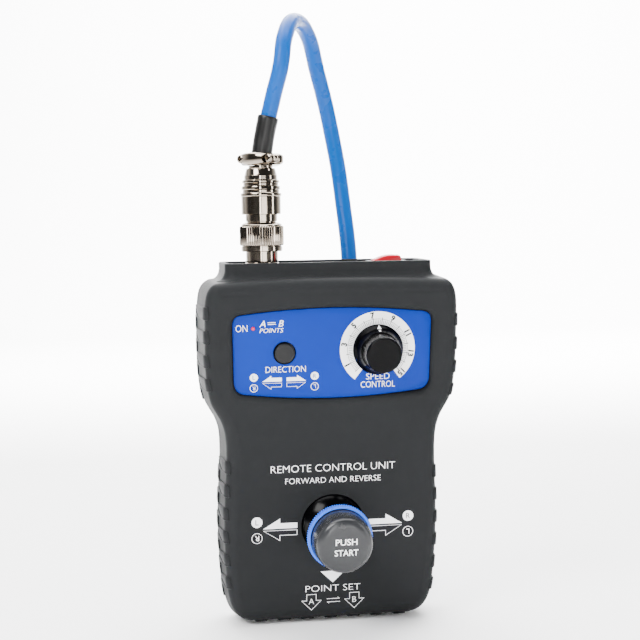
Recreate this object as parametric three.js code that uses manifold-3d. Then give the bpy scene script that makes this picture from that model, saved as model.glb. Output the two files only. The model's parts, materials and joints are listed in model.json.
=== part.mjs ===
// Hand-held motion controller for a motorised camera slider.
// Millimetres, +Z up, +X right, the control face looks along -Y.
// Every length below is measured from the base that the case stands on (Z), from its
// centre line (X) and from the parting plane between its two shells (Y), until the
// last lines shift the whole assembly so that its origin is the bottom centre.
import * as THREE from 'three';
import { mergeVertices } from 'three/addons/utils/BufferGeometryUtils.js';
import Module from 'manifold-3d';

const wasm = await Module();
wasm.setup();

// ---------------------------------------------------------------- driving dimensions
const DEG = Math.PI / 180;
const GAP = 0.3;                  // clearance between pieces that only touch
const WALL = 2.4;                 // moulded wall of both shells
const HEIGHT = 151.5;             // base to the rim of the top collar
const FACE_TILT = 6.2 * DEG;      // the control face leans forward towards the top
const FRONT_AT_BASE = 11.65;      // parting plane to control face, at the base
const REAR_DEPTH = 15;            // parting plane to the flat back
const EDGE = 5.5;                 // rounded edge around the front and the back
const DRAFT = 1.0;                // front side walls lean in this much before the edge
const REAR_DRAFT = 0.7;           // rear side walls, likewise
const PAD = 0.6;                  // grip pads stand this proud of the case
const CASE = {
  baseHalf: 31.6, bodyHalf: 45.9, waistHalf: 44.8, headHalf: 53.3,
  cornerTop: 17, bulge: 42, waist: 73, chamferLow: 87.4, chamferHigh: 92.2,
  headLow: 116, headHigh: 130, shoulder: 144.8, crown: 146.4,
};
const COLLAR = { half: 43, front: -18.5, rear: 12.5, corner: 4.5, wall: 2.3, foot: 138 };
const END_PANEL = { top: 149.2, thick: 2.2, grip: 1.0 };
const PANEL = {
  x: -0.2, halfTop: 41, halfLow: 40.6, low: 98.4, high: 131.4, bow: 2.2, corner: 4.4, cornerLow: 6.2,
  depth: 2.0, thick: 0.8, floor: 2.0, lip: 1.9,
};
const LED = { x: -32.8, v: 125.8, r: 0.8 };
const BUTTON = { x: -20.0, v: 115.4, hole: 4.75, r: 4.15, travel: 0.8 };
const DIAL = { x: 18.5, v: 116.05 };
const KNOB = { skirt: 10.45, body: 7.5, base: -1.5, top: 12.4 };
const BOARD = { n: -13.2, thick: 1.6 };
const STICK = { v: 42.4, pivot: -9, dome: 15.6, clear: 0.5 };
const DECK = { top: -12.2, low: -14.1, half: 17.6 };
const SOCKET = { x: -25.6, y: 0 };
const ROCKER = { x: 27.6, y: 0, half: 6.2, depth: 8 };
const NUT_R = 9.15;               // coupling nut of a 16 mm aviation connector
const CORD_R = 3.5;
const PAD_PITCH = 9.85;
const PAD_LENGTH = 5.6;

// ---------------------------------------------------------------- materials
function material(color, roughness, metalness = 0) {
  return new THREE.MeshStandardMaterial({ color, roughness, metalness });
}
const CASE_GREY = () => material(0x46484a, 0.55);
const BLACK = () => material(0x151517, 0.5);
const GLOSS_BLACK = () => material(0x0c0c0e, 0.15);
const PANEL_BLUE = () => material(0x0a5fd7, 0.35);
const RING_BLUE = () => material(0x6496f0, 0.4);
const CORD_BLUE = () => material(0x146ec8, 0.35);
const RED = () => material(0xc81428, 0.35);
const NICKEL = () => material(0xc9c4ba, 0.2, 1);
const STEEL = () => material(0x9a9b9d, 0.35, 1);
const BOARD_GREEN = () => material(0x1f5a36, 0.6);
const BUTTON_GREY = () => material(0x3c3e40, 0.45);

// ---------------------------------------------------------------- geometry helpers
function weld(geometry) {
  const bare = geometry.clone();
  bare.deleteAttribute('normal');
  bare.deleteAttribute('uv');
  const merged = mergeVertices(bare, 1e-4);
  const index = merged.index.array;
  const kept = [];
  for (let i = 0; i < index.length; i += 3) {
    const [a, b, c] = [index[i], index[i + 1], index[i + 2]];
    if (a !== b && b !== c && c !== a) kept.push(a, b, c);
  }
  merged.setIndex(kept);
  return merged;
}

function solid(geometry) {
  const welded = weld(geometry);
  return new wasm.Manifold(new wasm.Mesh({
    numProp: 3,
    vertProperties: new Float32Array(welded.attributes.position.array),
    triVerts: new Uint32Array(welded.index.array),
  }));
}

function geometryOf(body) {
  const mesh = body.asOriginal().simplify(FINEST).getMesh();
  const geometry = new THREE.BufferGeometry();
  geometry.setAttribute('position', new THREE.BufferAttribute(new Float32Array(mesh.vertProperties), 3));
  geometry.setIndex(new THREE.BufferAttribute(new Uint32Array(mesh.triVerts), 1));
  geometry.computeVertexNormals();
  return geometry;
}

const joined = (...pieces) => pieces.reduce((sum, piece) => sum.add(piece));
const cut = (body, ...tools) => tools.reduce((rest, tool) => rest.subtract(tool), body);
const FINEST = 0.05;              // slivers thinner than this are merged away after joining

function part(parent, name, shape, look) {
  const geometry = shape instanceof THREE.BufferGeometry ? shape : geometryOf(shape);
  const mesh = new THREE.Mesh(geometry, look);
  mesh.name = name;
  parent.add(mesh);
  return mesh;
}

// A box given by its lowest and highest corners.
function block(low, high) {
  const size = high.map((value, axis) => value - low[axis]);
  const geometry = new THREE.BoxGeometry(...size);
  return geometry.translate(...low.map((value, axis) => value + size[axis] / 2));
}

// Turned piece standing on +Z: profile points are [radius, height].
function turned(profile, sides = 20) {
  const points = profile.map(([radius, height]) => new THREE.Vector2(radius, height));
  return new THREE.LatheGeometry(points, sides).rotateX(Math.PI / 2);
}
const rod = (radius, low, high, sides = 14) => turned(
  [[0, low], [radius, low], [radius, high], [0, high]], sides);
const tube = (inner, outer, low, high, sides = 20) => turned(
  [[inner, low], [outer, low], [outer, high], [inner, high], [inner, low]], sides);
const rodAlongX = (radius, low, high, sides = 14) => rod(radius, low, high, sides).rotateY(Math.PI / 2);

// The same turned pieces standing on the control face, heights counted outwards.
const faceTurned = (profile, sides = 20) => turned(profile, sides).rotateX(Math.PI / 2);
const faceRod = (radius, low, high, sides = 14) => faceTurned(
  [[0, low], [radius, low], [radius, high], [0, high]], sides);
const faceBlock = (x0, x1, n0, n1, v0, v1) => block([x0, -n1, v0], [x1, -n0, v1]);

// A closed skin over a stack of rings that all have the same number of points. The ends
// are flat: seenFlat says how their points are laid out there.
const seenFromFront = (point) => new THREE.Vector2(point.x, point.z);
const seenFromAbove = (point) => new THREE.Vector2(point.x, point.y);
function loft(rings, seenFlat = seenFromFront) {
  const count = rings[0].length;
  const positions = rings.flat().flatMap((point) => [point.x, point.y, point.z]);
  const faces = [];
  for (let ring = 0; ring < rings.length - 1; ring += 1) {
    for (let i = 0; i < count; i += 1) {
      const a = ring * count + i;
      const b = ring * count + (i + 1) % count;
      faces.push(a, b, b + count, a, b + count, a + count);
    }
  }
  const flat = rings[0].map(seenFlat);
  const last = (rings.length - 1) * count;
  for (const [a, b, c] of THREE.ShapeUtils.triangulateShape(flat, [])) {
    faces.push(c, b, a, last + a, last + b, last + c);
  }
  const geometry = new THREE.BufferGeometry();
  geometry.setAttribute('position', new THREE.Float32BufferAttribute(positions, 3));
  geometry.setIndex(faces);
  return geometry;
}

// Turns a loft inside out where its rings run the other way round.
function outward(geometry) {
  const body = geometry.index.array;
  const at = (i) => new THREE.Vector3().fromBufferAttribute(geometry.attributes.position, i);
  let volume = 0;
  for (let i = 0; i < body.length; i += 3) {
    volume += at(body[i]).dot(at(body[i + 1]).cross(at(body[i + 2])));
  }
  if (volume < 0) geometry.setIndex(Array.from(body).reverse());
  return geometry;
}

// Moves every point of a closed outline inwards along its mitre.
function inset(outline, distance) {
  const count = outline.length;
  return outline.map((point, i) => {
    const before = outline[(i + count - 1) % count];
    const after = outline[(i + 1) % count];
    const along1 = point.clone().sub(before).normalize();
    const along2 = after.clone().sub(point).normalize();
    const bisector = new THREE.Vector2(-(along1.y + along2.y), along1.x + along2.x).normalize();
    const cosine = Math.max(0.5, bisector.dot(new THREE.Vector2(-along1.y, along1.x)));
    return point.clone().addScaledVector(bisector, distance / cosine);
  });
}

// ---------------------------------------------------------------- case outline
// Right half of the case seen from the front, from the base up to the crown.
function halfOutline() {
  const c = CASE;
  const path = new THREE.Path();
  path.moveTo(0, PAD);
  path.lineTo(c.baseHalf, PAD);
  path.bezierCurveTo(41.0, PAD, 43.9, 7, 44.8, c.cornerTop);
  path.bezierCurveTo(45.4, 25, c.bodyHalf, 33, c.bodyHalf, c.bulge);
  path.bezierCurveTo(c.bodyHalf, 54, c.waistHalf, 64, c.waistHalf, c.waist);
  path.bezierCurveTo(c.waistHalf, 80, 45.4, 83.5, 47.2, c.chamferLow);
  path.lineTo(50.0, c.chamferHigh);
  path.bezierCurveTo(52.0, 95.4, c.headHalf, 104, c.headHalf, c.headLow);
  path.lineTo(c.headHalf, c.headHigh);
  path.bezierCurveTo(c.headHalf, 138, 52.6, 142.8, 48.0, c.shoulder);
  path.bezierCurveTo(36.8, 146, 16, c.crown, 0, c.crown);
  return path.getPoints(3);
}

function caseOutline() {
  const right = halfOutline();
  const left = right.slice(1, -1).reverse().map((point) => new THREE.Vector2(-point.x, point.y));
  return [...right, ...left];
}

function halfWidthAt(z) {
  const side = halfOutline();
  for (let i = 1; i < side.length; i += 1) {
    if (side[i].y >= z && side[i - 1].x > 40) {
      const share = (z - side[i - 1].y) / (side[i].y - side[i - 1].y);
      return side[i - 1].x + share * (side[i].x - side[i - 1].x);
    }
  }
  return CASE.headHalf;
}

// A ring of the outline at a fixed distance behind the tilted control face.
const faceY = (z) => -(FRONT_AT_BASE + z * Math.tan(FACE_TILT));
function frontRing(outline, distance, behind) {
  return inset(outline, distance).map((point) => new THREE.Vector3(
    point.x, faceY(point.y) + behind / Math.cos(FACE_TILT), point.y));
}
function flatRing(outline, distance, y) {
  return inset(outline, distance).map((point) => new THREE.Vector3(point.x, y, point.y));
}

const EDGE_STEPS = [0, 45, 90].map((angle) => angle * DEG);

function frontBlank(outline) {
  const rings = [flatRing(outline, 0, -GAP / 2)];
  for (const angle of EDGE_STEPS) {
    rings.push(frontRing(outline, DRAFT + EDGE * (1 - Math.cos(angle)), EDGE * (1 - Math.sin(angle))));
  }
  return outward(loft(rings));
}

function frontHollow(outline) {
  return outward(loft([
    flatRing(outline, WALL, 1),
    frontRing(outline, WALL + DRAFT, EDGE + 1),
    frontRing(outline, WALL + DRAFT + 1.2, WALL + 1.4),
    frontRing(outline, WALL + DRAFT + 3.8, WALL),
  ]));
}

function rearBlank(outline) {
  const rings = [flatRing(outline, 0, GAP / 2)];
  for (const angle of EDGE_STEPS) {
    rings.push(flatRing(outline, REAR_DRAFT + EDGE * (1 - Math.cos(angle)),
      REAR_DEPTH - EDGE * (1 - Math.sin(angle))));
  }
  return outward(loft(rings));
}

function rearHollow(outline) {
  return outward(loft([
    flatRing(outline, WALL, -1),
    flatRing(outline, WALL + 0.7, REAR_DEPTH - EDGE - 1),
    flatRing(outline, WALL + 2, REAR_DEPTH - WALL - 1.4),
    flatRing(outline, WALL + 4.5, REAR_DEPTH - WALL),
  ]));
}

// ---------------------------------------------------------------- top collar
// Horizontal rounded rectangle of the collar, grown sideways by a distance, but hardly
// towards the back, where the case is no deeper than the collar.
function collarRing(grow, z) {
  const { half, front, rear, corner } = COLLAR;
  const shape = new THREE.Path();
  const back = rear + (grow > 0 ? 0.25 * grow : grow);
  const [x, y0, y1, r] = [half + grow, front - grow, back, Math.max(0.6, corner + grow)];
  shape.absarc(x - r, y1 - r, r, 0, 90 * DEG);
  shape.absarc(-x + r, y1 - r, r, 90 * DEG, 180 * DEG);
  shape.absarc(-x + r, y0 + r, r, 180 * DEG, 270 * DEG);
  shape.absarc(x - r, y0 + r, r, 270 * DEG, 360 * DEG);
  return shape.getPoints(3).slice(0, -1).map((point) => new THREE.Vector3(point.x, point.y, z));
}

// Collar with a hollow foot fillet where it meets the shoulders.
function collarBlank() {
  const fillet = [[3, 144.6], [1.4, 145.5], [0.5, 146.7], [0, 148.3], [0, HEIGHT]];
  const rings = [collarRing(3, COLLAR.foot), ...fillet.map(([grow, z]) => collarRing(grow, z))];
  return outward(loft(rings, seenFromAbove));
}
function collarBore() {
  const rings = [collarRing(-COLLAR.wall, COLLAR.foot - 4), collarRing(-COLLAR.wall, HEIGHT + 1)];
  return outward(loft(rings, seenFromAbove));
}
function endPanelSlab(clear) {
  const grow = END_PANEL.grip - COLLAR.wall + clear;
  const low = END_PANEL.top - END_PANEL.thick - clear;
  return outward(loft([collarRing(grow, low), collarRing(grow, END_PANEL.top + clear)], seenFromAbove));
}

// ---------------------------------------------------------------- grip pads
const SQUARE = [[0, 0], [1, 0], [1, 1], [0, 1]].map(([x, y]) => new THREE.Vector2(x, y));
function frustum(corners, tops) {
  const ring = (points) => points.map(([x, y, z]) => new THREE.Vector3(x, y, z));
  return outward(loft([ring(corners), ring(tops)], (point, i) => SQUARE[i]));
}

// One pad on a side wall: it runs from the parting line to the rounded edge and leans in
// with the wall's draft.
function sidePad(side, z, front) {
  const y0 = front ? -GAP / 2 : GAP / 2;
  const y1 = front ? faceY(z) + EDGE : REAR_DEPTH - EDGE;
  const lean = (front ? DRAFT : REAR_DRAFT) / Math.abs(y1);
  const low = z - PAD_LENGTH / 2;
  const high = z + PAD_LENGTH / 2;
  const chamfer = 0.5;
  const at = (zz, depth, y) => [side * (halfWidthAt(zz) + depth - lean * Math.abs(y)), y, zz];
  const inward = Math.sign(y1 - y0) * chamfer;
  return frustum(
    [at(low, -1.2, y0), at(low, -1.2, y1), at(high, -1.2, y1), at(high, -1.2, y0)],
    [at(low + chamfer, PAD, y0), at(low + chamfer, PAD, y1 - inward),
      at(high - chamfer, PAD, y1 - inward), at(high - chamfer, PAD, y0)]);
}

function basePad(x, front) {
  const y0 = front ? -GAP / 2 : GAP / 2;
  const y1 = front ? -5.6 : 6.4;
  const [low, high, chamfer] = [x - PAD_LENGTH / 2, x + PAD_LENGTH / 2, 0.4];
  const inward = Math.sign(y1 - y0) * chamfer;
  return frustum(
    [[low, y0, PAD + 1], [low, y1, PAD + 1], [high, y1, PAD + 1], [high, y0, PAD + 1]],
    [[low + chamfer, y0, 0], [low + chamfer, y1 - inward, 0],
      [high - chamfer, y1 - inward, 0], [high - chamfer, y0, 0]]);
}

const UPPER_PADS = { first: 99.8, count: 4 };
const LOWER_PADS = { first: 16.3, count: 6 };
const BASE_PADS = 7;

// The two shells' pads, and those of the two sides, are staggered by half a pitch.
function pads(front) {
  const made = [];
  const stagger = (side) => side * (front ? -1 : 1) * PAD_PITCH / 4;
  for (const cluster of [UPPER_PADS, LOWER_PADS]) {
    for (let i = 0; i < cluster.count; i += 1) {
      for (const side of [-1, 1]) {
        made.push(solid(sidePad(side, cluster.first + i * PAD_PITCH + stagger(side), front)));
      }
    }
  }
  for (let i = 0; i < BASE_PADS; i += 1) {
    made.push(solid(basePad((i - (BASE_PADS - 1) / 2) * PAD_PITCH, front)));
  }
  return made;
}

// ---------------------------------------------------------------- frame of the control face
// Inside this group x runs right, z runs up the face and -y points out of it.
const assembly = new THREE.Group();
const face = new THREE.Group();
face.position.set(0, -FRONT_AT_BASE, 0);
face.rotation.x = FACE_TILT;
assembly.add(face);

function fromFace(body) {
  face.updateMatrix();
  return body.transform(Array.from(face.matrix.elements));
}

// Blue panel outline, grown outwards by a distance.
function panelShape(grow) {
  const p = PANEL;
  const [low, high, r, rl] = [p.low - grow, p.high + grow, p.corner + grow, p.cornerLow + grow];
  const [wideLow, wideTop] = [p.halfLow + grow, p.halfTop + grow];
  const shape = new THREE.Shape();
  shape.moveTo(p.x - wideLow + rl, low);
  shape.quadraticCurveTo(p.x, low - 2 * p.bow, p.x + wideLow - rl, low);
  shape.quadraticCurveTo(p.x + wideLow, low, p.x + wideLow, low + rl);
  shape.lineTo(p.x + wideTop, high - r);
  shape.quadraticCurveTo(p.x + wideTop, high, p.x + wideTop - r, high);
  shape.quadraticCurveTo(p.x, high + 2 * p.bow, p.x - wideTop + r, high);
  shape.quadraticCurveTo(p.x - wideTop, high, p.x - wideTop, high - r);
  shape.lineTo(p.x - wideLow, low + rl);
  shape.quadraticCurveTo(p.x - wideLow, low, p.x - wideLow + rl, low);
  return shape;
}
const panelPoints = (grow) => panelShape(grow).getPoints(4).slice(0, -1);
const panelRing = (grow, n) => panelPoints(grow).map((point) => new THREE.Vector3(point.x, -n, point.y));
const PANEL_FLOOR = -(PANEL.depth + PANEL.thick + GAP);

// ---------------------------------------------------------------- shells
const JOY_SCREW = 14.6;
const CASE_SCREWS = [[-38, 24], [38, 24], [-41, 103], [41, 103]];
const SCREW_HEAD_R = 2.8;

function boss(x, z, outer, inner, y0, y1) {
  const post = tube(inner, outer, 0, 1, 10).rotateX(Math.PI / 2);
  return solid(post.scale(1, y1 - y0, 1).translate(x, y1, z));
}

function frontShell(outline) {
  const dome = solid(frontBlank(outline));
  const collar = solid(collarBlank()).subtract(solid(block([-60, -GAP / 2, 100], [60, 40, 170])));
  const hollow = solid(frontHollow(outline));
  const pocketBack = fromFace(solid(outward(loft([
    panelRing(2.4, PANEL_FLOOR - PANEL.floor), panelRing(2.4, -1.5)]))));
  const joyBosses = [-1, 1].flatMap((i) => [-1, 1].map((j) => fromFace(solid(
    faceRod(2.6, DECK.top + GAP, -1.5, 8).translate(i * JOY_SCREW, 0, STICK.v + j * JOY_SCREW)))));
  const caseBosses = CASE_SCREWS.map(([x, z]) => boss(x, z, 3.2, 1.2, -8, -0.6)
    .add(boss(x, z, 3.2, 1.2, faceY(z) + 1.5, -7.9)));
  const pocket = fromFace(solid(outward(loft([panelRing(GAP, PANEL_FLOOR), panelRing(GAP, -PANEL.depth),
    panelRing(PANEL.lip, 0.01), panelRing(PANEL.lip, 3)]))));
  const holes = [
    faceRod(BUTTON.hole, -20, 2, 24).translate(BUTTON.x, 0, BUTTON.v),
    faceRod(LED.r + 0.15, -20, 2, 12).translate(LED.x, 0, LED.v),
    faceRod(3.7, -20, 2, 20).translate(DIAL.x, 0, DIAL.v),
    new THREE.SphereGeometry(STICK.dome + STICK.clear, 24, 14).translate(0, -STICK.pivot, STICK.v),
    ...[-1, 1].flatMap((i) => [-1, 1].map((j) => faceRod(1.1, -13, -4, 8)
      .translate(i * JOY_SCREW, 0, STICK.v + j * JOY_SCREW))),
  ].map((geometry) => fromFace(solid(geometry)));
  const outer = joined(dome, collar, ...pads(true));
  const inside = joined(pocketBack, ...joyBosses, ...caseBosses).intersect(dome);
  const shell = cut(outer, hollow, solid(collarBore())).add(inside);
  return cut(shell, pocket, ...holes, solid(endPanelSlab(GAP)));
}

function rearShell(outline) {
  const blank = solid(rearBlank(outline));
  const collar = solid(collarBlank()).subtract(solid(block([-60, -60, 100], [60, GAP / 2, 170])));
  const outer = joined(blank, collar, ...pads(false));
  const posts = CASE_SCREWS.map(([x, z]) => solid(rod(4.6, 0, REAR_DEPTH - 0.7, 12)
    .rotateX(-Math.PI / 2).translate(x, 0.6, z)).intersect(blank));
  const counterbores = CASE_SCREWS.flatMap(([x, z]) => [
    solid(rod(SCREW_HEAD_R + 0.4, 0, 20, 12).rotateX(-Math.PI / 2).translate(x, 5, z)),
    solid(rod(1.7, 0, 30, 10).rotateX(-Math.PI / 2).translate(x, -5, z)),
  ]);
  const boardPosts = MAIN.postZ.map((z, i) => boss(i ? MAIN.postX : -MAIN.postX, z, 2.6, 1.1,
    MAIN.y + MAIN.thick + GAP, REAR_DEPTH - WALL + 0.4));
  const shell = cut(outer, solid(rearHollow(outline)), solid(collarBore()));
  return cut(joined(shell, ...posts, ...boardPosts), ...counterbores, solid(endPanelSlab(GAP)));
}

function buildShells() {
  const outline = caseOutline();
  part(assembly, 'front_shell', frontShell(outline), CASE_GREY());
  part(assembly, 'rear_shell', rearShell(outline), CASE_GREY());
}

// Pan-head screw along +Z: the head sits at the top, with a crossed recess.
function screw(headR, headH, shankR, length, sides = 10) {
  const body = solid(turned([[0, -length], [shankR, -length + 0.6], [shankR, 0], [headR, 0],
    [headR, headH * 0.6], [headR * 0.7, headH], [0, headH]], sides));
  const slot = headR * 0.55;
  const cross = [[slot, 0.3], [0.3, slot]].map(([x, y]) => solid(
    block([-x, -y, headH * 0.45], [x, y, headH + 1])));
  return cut(body, ...cross);
}

function buildCaseScrews() {
  CASE_SCREWS.forEach(([x, z], i) => {
    const mesh = part(assembly, `case_screw_${i + 1}`, screw(SCREW_HEAD_R, 1.8, 1.0, 12), STEEL());
    mesh.rotation.x = -Math.PI / 2;
    mesh.position.set(x, 5 + 0.2, z);
  });
}

// ---------------------------------------------------------------- top end: panel, switch, socket
const SWITCH_HOLE = [6.9, 4.9];
function buildEndPanel() {
  const slab = solid(endPanelSlab(0));
  const top = END_PANEL.top;
  const socketHole = solid(rod(7.1, top - 10, top + 5, 28).translate(SOCKET.x, SOCKET.y, 0));
  const [hx, hy] = [SWITCH_HOLE[0] + 0.2, SWITCH_HOLE[1] + 0.2];
  const switchHole = solid(block([ROCKER.x - hx, -hy, top - 10], [ROCKER.x + hx, hy, top + 5]));
  part(assembly, 'top_end_panel', cut(slab, socketHole, switchHole), BLACK());
}

function buildPowerSwitch() {
  const top = END_PANEL.top;
  const [hx, hy] = SWITCH_HOLE;
  const flange = solid(block([ROCKER.x - 8.2, -6.2, top + GAP], [ROCKER.x + 8.2, 6.2, top + 1.8]));
  const body = solid(block([ROCKER.x - hx, -hy, top - 14], [ROCKER.x + hx, hy, top + 1]));
  const [wx, wy] = [ROCKER.half + 0.4, ROCKER.depth / 2 + 0.25];
  const well = solid(block([ROCKER.x - wx, -wy, top - 8], [ROCKER.x + wx, wy, top + 5]));
  const pinHoles = solid(rod(1.1, -6, 6, 12).rotateX(Math.PI / 2).translate(ROCKER.x, 0, rockerAxis()));
  const frame = cut(joined(flange, body), well, pinHoles);
  const legs = [-4.2, 0, 4.2].map((x) => solid(block(
    [ROCKER.x + x - 0.4, -2, top - 20], [ROCKER.x + x + 0.4, 2, top - 13])));
  part(assembly, 'power_switch_body', joined(frame, ...legs), BLACK());
  part(assembly, 'power_rocker', rocker(), RED());
}

const rockerAxis = () => END_PANEL.top - 1.2;
const ROCKER_REST = 9 * DEG;
// Rocker seen along its axle: two faces that meet in a shallow valley.
function rocker() {
  const h = ROCKER.half - 0.25;
  const shape = new THREE.Shape();
  shape.moveTo(-h + 1.2, -3.2);
  shape.lineTo(h - 1.2, -3.2);
  shape.lineTo(h, 3.4);
  shape.quadraticCurveTo(h - 0.3, 4.6, h - 1.6, 4.6);
  shape.quadraticCurveTo(0, 6.0, -h + 1.6, 4.6);
  shape.quadraticCurveTo(-h + 0.3, 4.6, -h, 3.4);
  const depth = ROCKER.depth - 0.4;
  const body = new THREE.ExtrudeGeometry(shape, { depth, bevelEnabled: false, curveSegments: 4 })
    .translate(0, 0, -depth / 2).rotateX(Math.PI / 2);
  const axle = rod(1.0, -ROCKER.depth / 2 - 0.75, ROCKER.depth / 2 + 0.75, 12).rotateX(Math.PI / 2);
  const cap = geometryOf(joined(solid(body), solid(axle)));
  return cap.rotateY(-ROCKER_REST).translate(ROCKER.x, ROCKER.y, rockerAxis());
}

// Panel socket, a matching cord plug and its clamp, all turned about one axis.
function socketBody() {
  const top = END_PANEL.top;
  return turned([[0, top - 14], [6.2, top - 14], [6.2, top - 8], [6.8, top - 8], [6.8, top + GAP],
    [8.2, top + GAP], [8.2, top + 1.5], [6.7, top + 1.5], [6.7, top + 7.9], [6.2, top + 8.5],
    [0, top + 8.5]], 24);
}

function plugShell() {
  const profile = [[0, 2.2], [5.4, 2.2], [5.4, 5.4], [6.05, 5.4], [6.05, 9.3], [6.6, 9.4], [6.6, 12.2],
    [8.2, 12.2], [8.2, 19.6], [8.5, 20.0], [8.5, 20.7], [7.7, 21.2], [7.7, 22.4], [8.05, 22.7],
    [8.05, 23.8], [7.3, 24.2], [7.3, 25.1], [7.75, 25.4], [7.75, 26.2], [6.9, 26.6], [6.9, 28.3],
    [6.0, 31.2], [5.0, 31.3], [5.0, 32.4], [0, 32.4]];
  const body = solid(turned(profile, 16)).add(jaw(1, JAW.low - 0.9));
  return cut(body, solid(rod(CORD_R + 0.75, 30.4, 34)));
}

// The jaw that is one piece with the plug shell, and the one its two screws draw in.
const JAW = { half: 10.2, reach: 6.6, screw: 7.0, low: 32.7, high: 37.8, seat: 3.4, bore: 5.4 };
const JAW_AXIS = (JAW.low + JAW.high) / 2;
function jawOutline(sign) {
  const shape = new THREE.Shape();
  shape.moveTo(JAW.half, sign * 0.4);
  shape.lineTo(JAW.half, sign * 2.2);
  shape.quadraticCurveTo(5, sign * JAW.reach, 0, sign * JAW.reach);
  shape.quadraticCurveTo(-5, sign * JAW.reach, -JAW.half, sign * 2.2);
  shape.lineTo(-JAW.half, sign * 0.4);
  return shape;
}
function jaw(sign, low) {
  const settings = { depth: JAW.high - low, bevelEnabled: false, curveSegments: 6 };
  const body = solid(new THREE.ExtrudeGeometry(jawOutline(sign), settings).translate(0, 0, low));
  const bore = solid(rod(JAW.bore, JAW.low + (sign > 0 ? 0.4 : -1), JAW.high + 1, 14));
  const acrossAt = (geometry, side) => solid(geometry.rotateX(Math.PI / 2)
    .translate(side * JAW.screw, 0, JAW_AXIS));
  const holes = [-1, 1].flatMap((side) => [
    acrossAt(rod(1.15, -9, 9, 10), side),
    acrossAt(rod(2.1, JAW.seat, 9, 12), side),
  ]);
  return cut(body, bore, ...holes);
}

function couplingNut() {
  const ribs = 18;
  const shape = new THREE.Shape();
  for (let i = 0; i < ribs * 2; i += 1) {
    const angle = (i / ribs) * Math.PI;
    const radius = i % 2 === 0 ? NUT_R : NUT_R - 0.45;
    shape.lineTo(radius * Math.cos(angle), radius * Math.sin(angle));
  }
  const settings = { depth: 8, bevelEnabled: false };
  const knurl = solid(new THREE.ExtrudeGeometry(shape, settings).translate(0, 0, 2.4));
  const collar = solid(turned([[0, 0], [8.55, 0], [8.55, 11], [6.9, 12], [0, 12]], 18));
  const bore = solid(turned([[0, -1], [7.1, -1], [7.1, 6.6], [6.4, 6.8], [6.4, 13], [0, 13]], 18));
  return joined(knurl, collar).subtract(bore);
}

const PLUG_LIFT = 159.0;          // mating plane of the plug, above the base
const NUT_LIFT = -3.1;            // coupling nut against that plane
const CLAMP_TURN = 43 * DEG;

function plugSet(prefix) {
  const group = new THREE.Group();
  part(group, `${prefix}plug_shell`, plugShell(), NICKEL());
  part(group, `${prefix}coupling_nut`, couplingNut(), NICKEL()).position.z = NUT_LIFT;
  part(group, `${prefix}clamp_jaw`, jaw(-1, JAW.low), NICKEL());
  [-1, 1].forEach((side, i) => {
    const mesh = part(group, `${prefix}clamp_screw_${i + 1}`, screw(1.8, 1.3, 0.9, 7.4), NICKEL());
    mesh.rotation.x = Math.PI / 2;
    mesh.position.set(side * JAW.screw, -(JAW.seat + GAP), JAW_AXIS);
  });
  return group;
}

// Heat-shrink sleeve over the cord where it enters the clamp; it may lean to one side.
const SLEEVE = { low: 35.0, length: 17.6, lean: 3.6, thick: 0.9 };
function sleeve(lean) {
  const { length } = SLEEVE;
  const foot = new THREE.Vector3(lean * 0.06, 0, 0);
  const middle = new THREE.Vector3(lean * 0.42, 0, length * 0.5);
  const top = new THREE.Vector3(lean, 0, length);
  const path = new THREE.QuadraticBezierCurve3(foot, middle, top);
  const section = new THREE.Shape();
  section.absarc(0, 0, CORD_R + SLEEVE.thick, 0, 2 * Math.PI);
  return new THREE.ExtrudeGeometry(section, { extrudePath: path, steps: 4, curveSegments: 6 });
}

function buildConnector() {
  const socket = part(assembly, 'socket_body', socketBody(), NICKEL());
  socket.position.set(SOCKET.x, SOCKET.y, 0);
  const lock = cut(solid(new THREE.CylinderGeometry(9.6, 9.6, 2.2, 6).rotateX(Math.PI / 2)),
    solid(rod(7.0, -3, 3, 24)));
  const nut = part(assembly, 'socket_nut', lock, NICKEL());
  nut.position.set(SOCKET.x, SOCKET.y, END_PANEL.top - END_PANEL.thick - GAP - 1.1);
  const plug = plugSet('');
  plug.position.set(SOCKET.x, SOCKET.y, PLUG_LIFT);
  plug.rotation.z = -CLAMP_TURN;
  assembly.add(plug);
  const boot = part(assembly, 'heat_shrink_sleeve', sleeve(SLEEVE.lean), BLACK());
  boot.position.set(SOCKET.x, SOCKET.y, PLUG_LIFT + SLEEVE.low);
}

// ---------------------------------------------------------------- circuit board in the rear shell
const MAIN = { half: 32.5, low: 14, high: 84, y: 8, thick: 1.6, postX: 27, postZ: [20, 78] };
function buildMainBoard() {
  const { half, low, high, y, thick } = MAIN;
  const board = solid(block([-half, y, low], [half, y + thick, high]));
  const parts = [
    [[-20, y - 1.4, 66], [-8, y + 0.5, 78]],
    [[6, y - 1.2, 68], [14, y + 0.5, 76]],
    [[-6, y - 1.6, 15], [8, y + 0.5, 20]],
  ].map(([from, to]) => solid(block(from, to)));
  const holes = MAIN.postZ.map((z, i) => solid(rod(1.5, -5, 20, 12).rotateX(-Math.PI / 2)
    .translate(i ? MAIN.postX : -MAIN.postX, 0, z)));
  part(assembly, 'main_board', cut(joined(board, ...parts), ...holes), BOARD_GREEN());
  MAIN.postZ.forEach((z, i) => {
    const mesh = part(assembly, `board_screw_${i + 1}`, screw(2.1, 1.3, 0.9, 4.4), STEEL());
    mesh.rotation.x = Math.PI / 2;
    mesh.position.set(i ? MAIN.postX : -MAIN.postX, y - GAP, z);
  });
}

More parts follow.
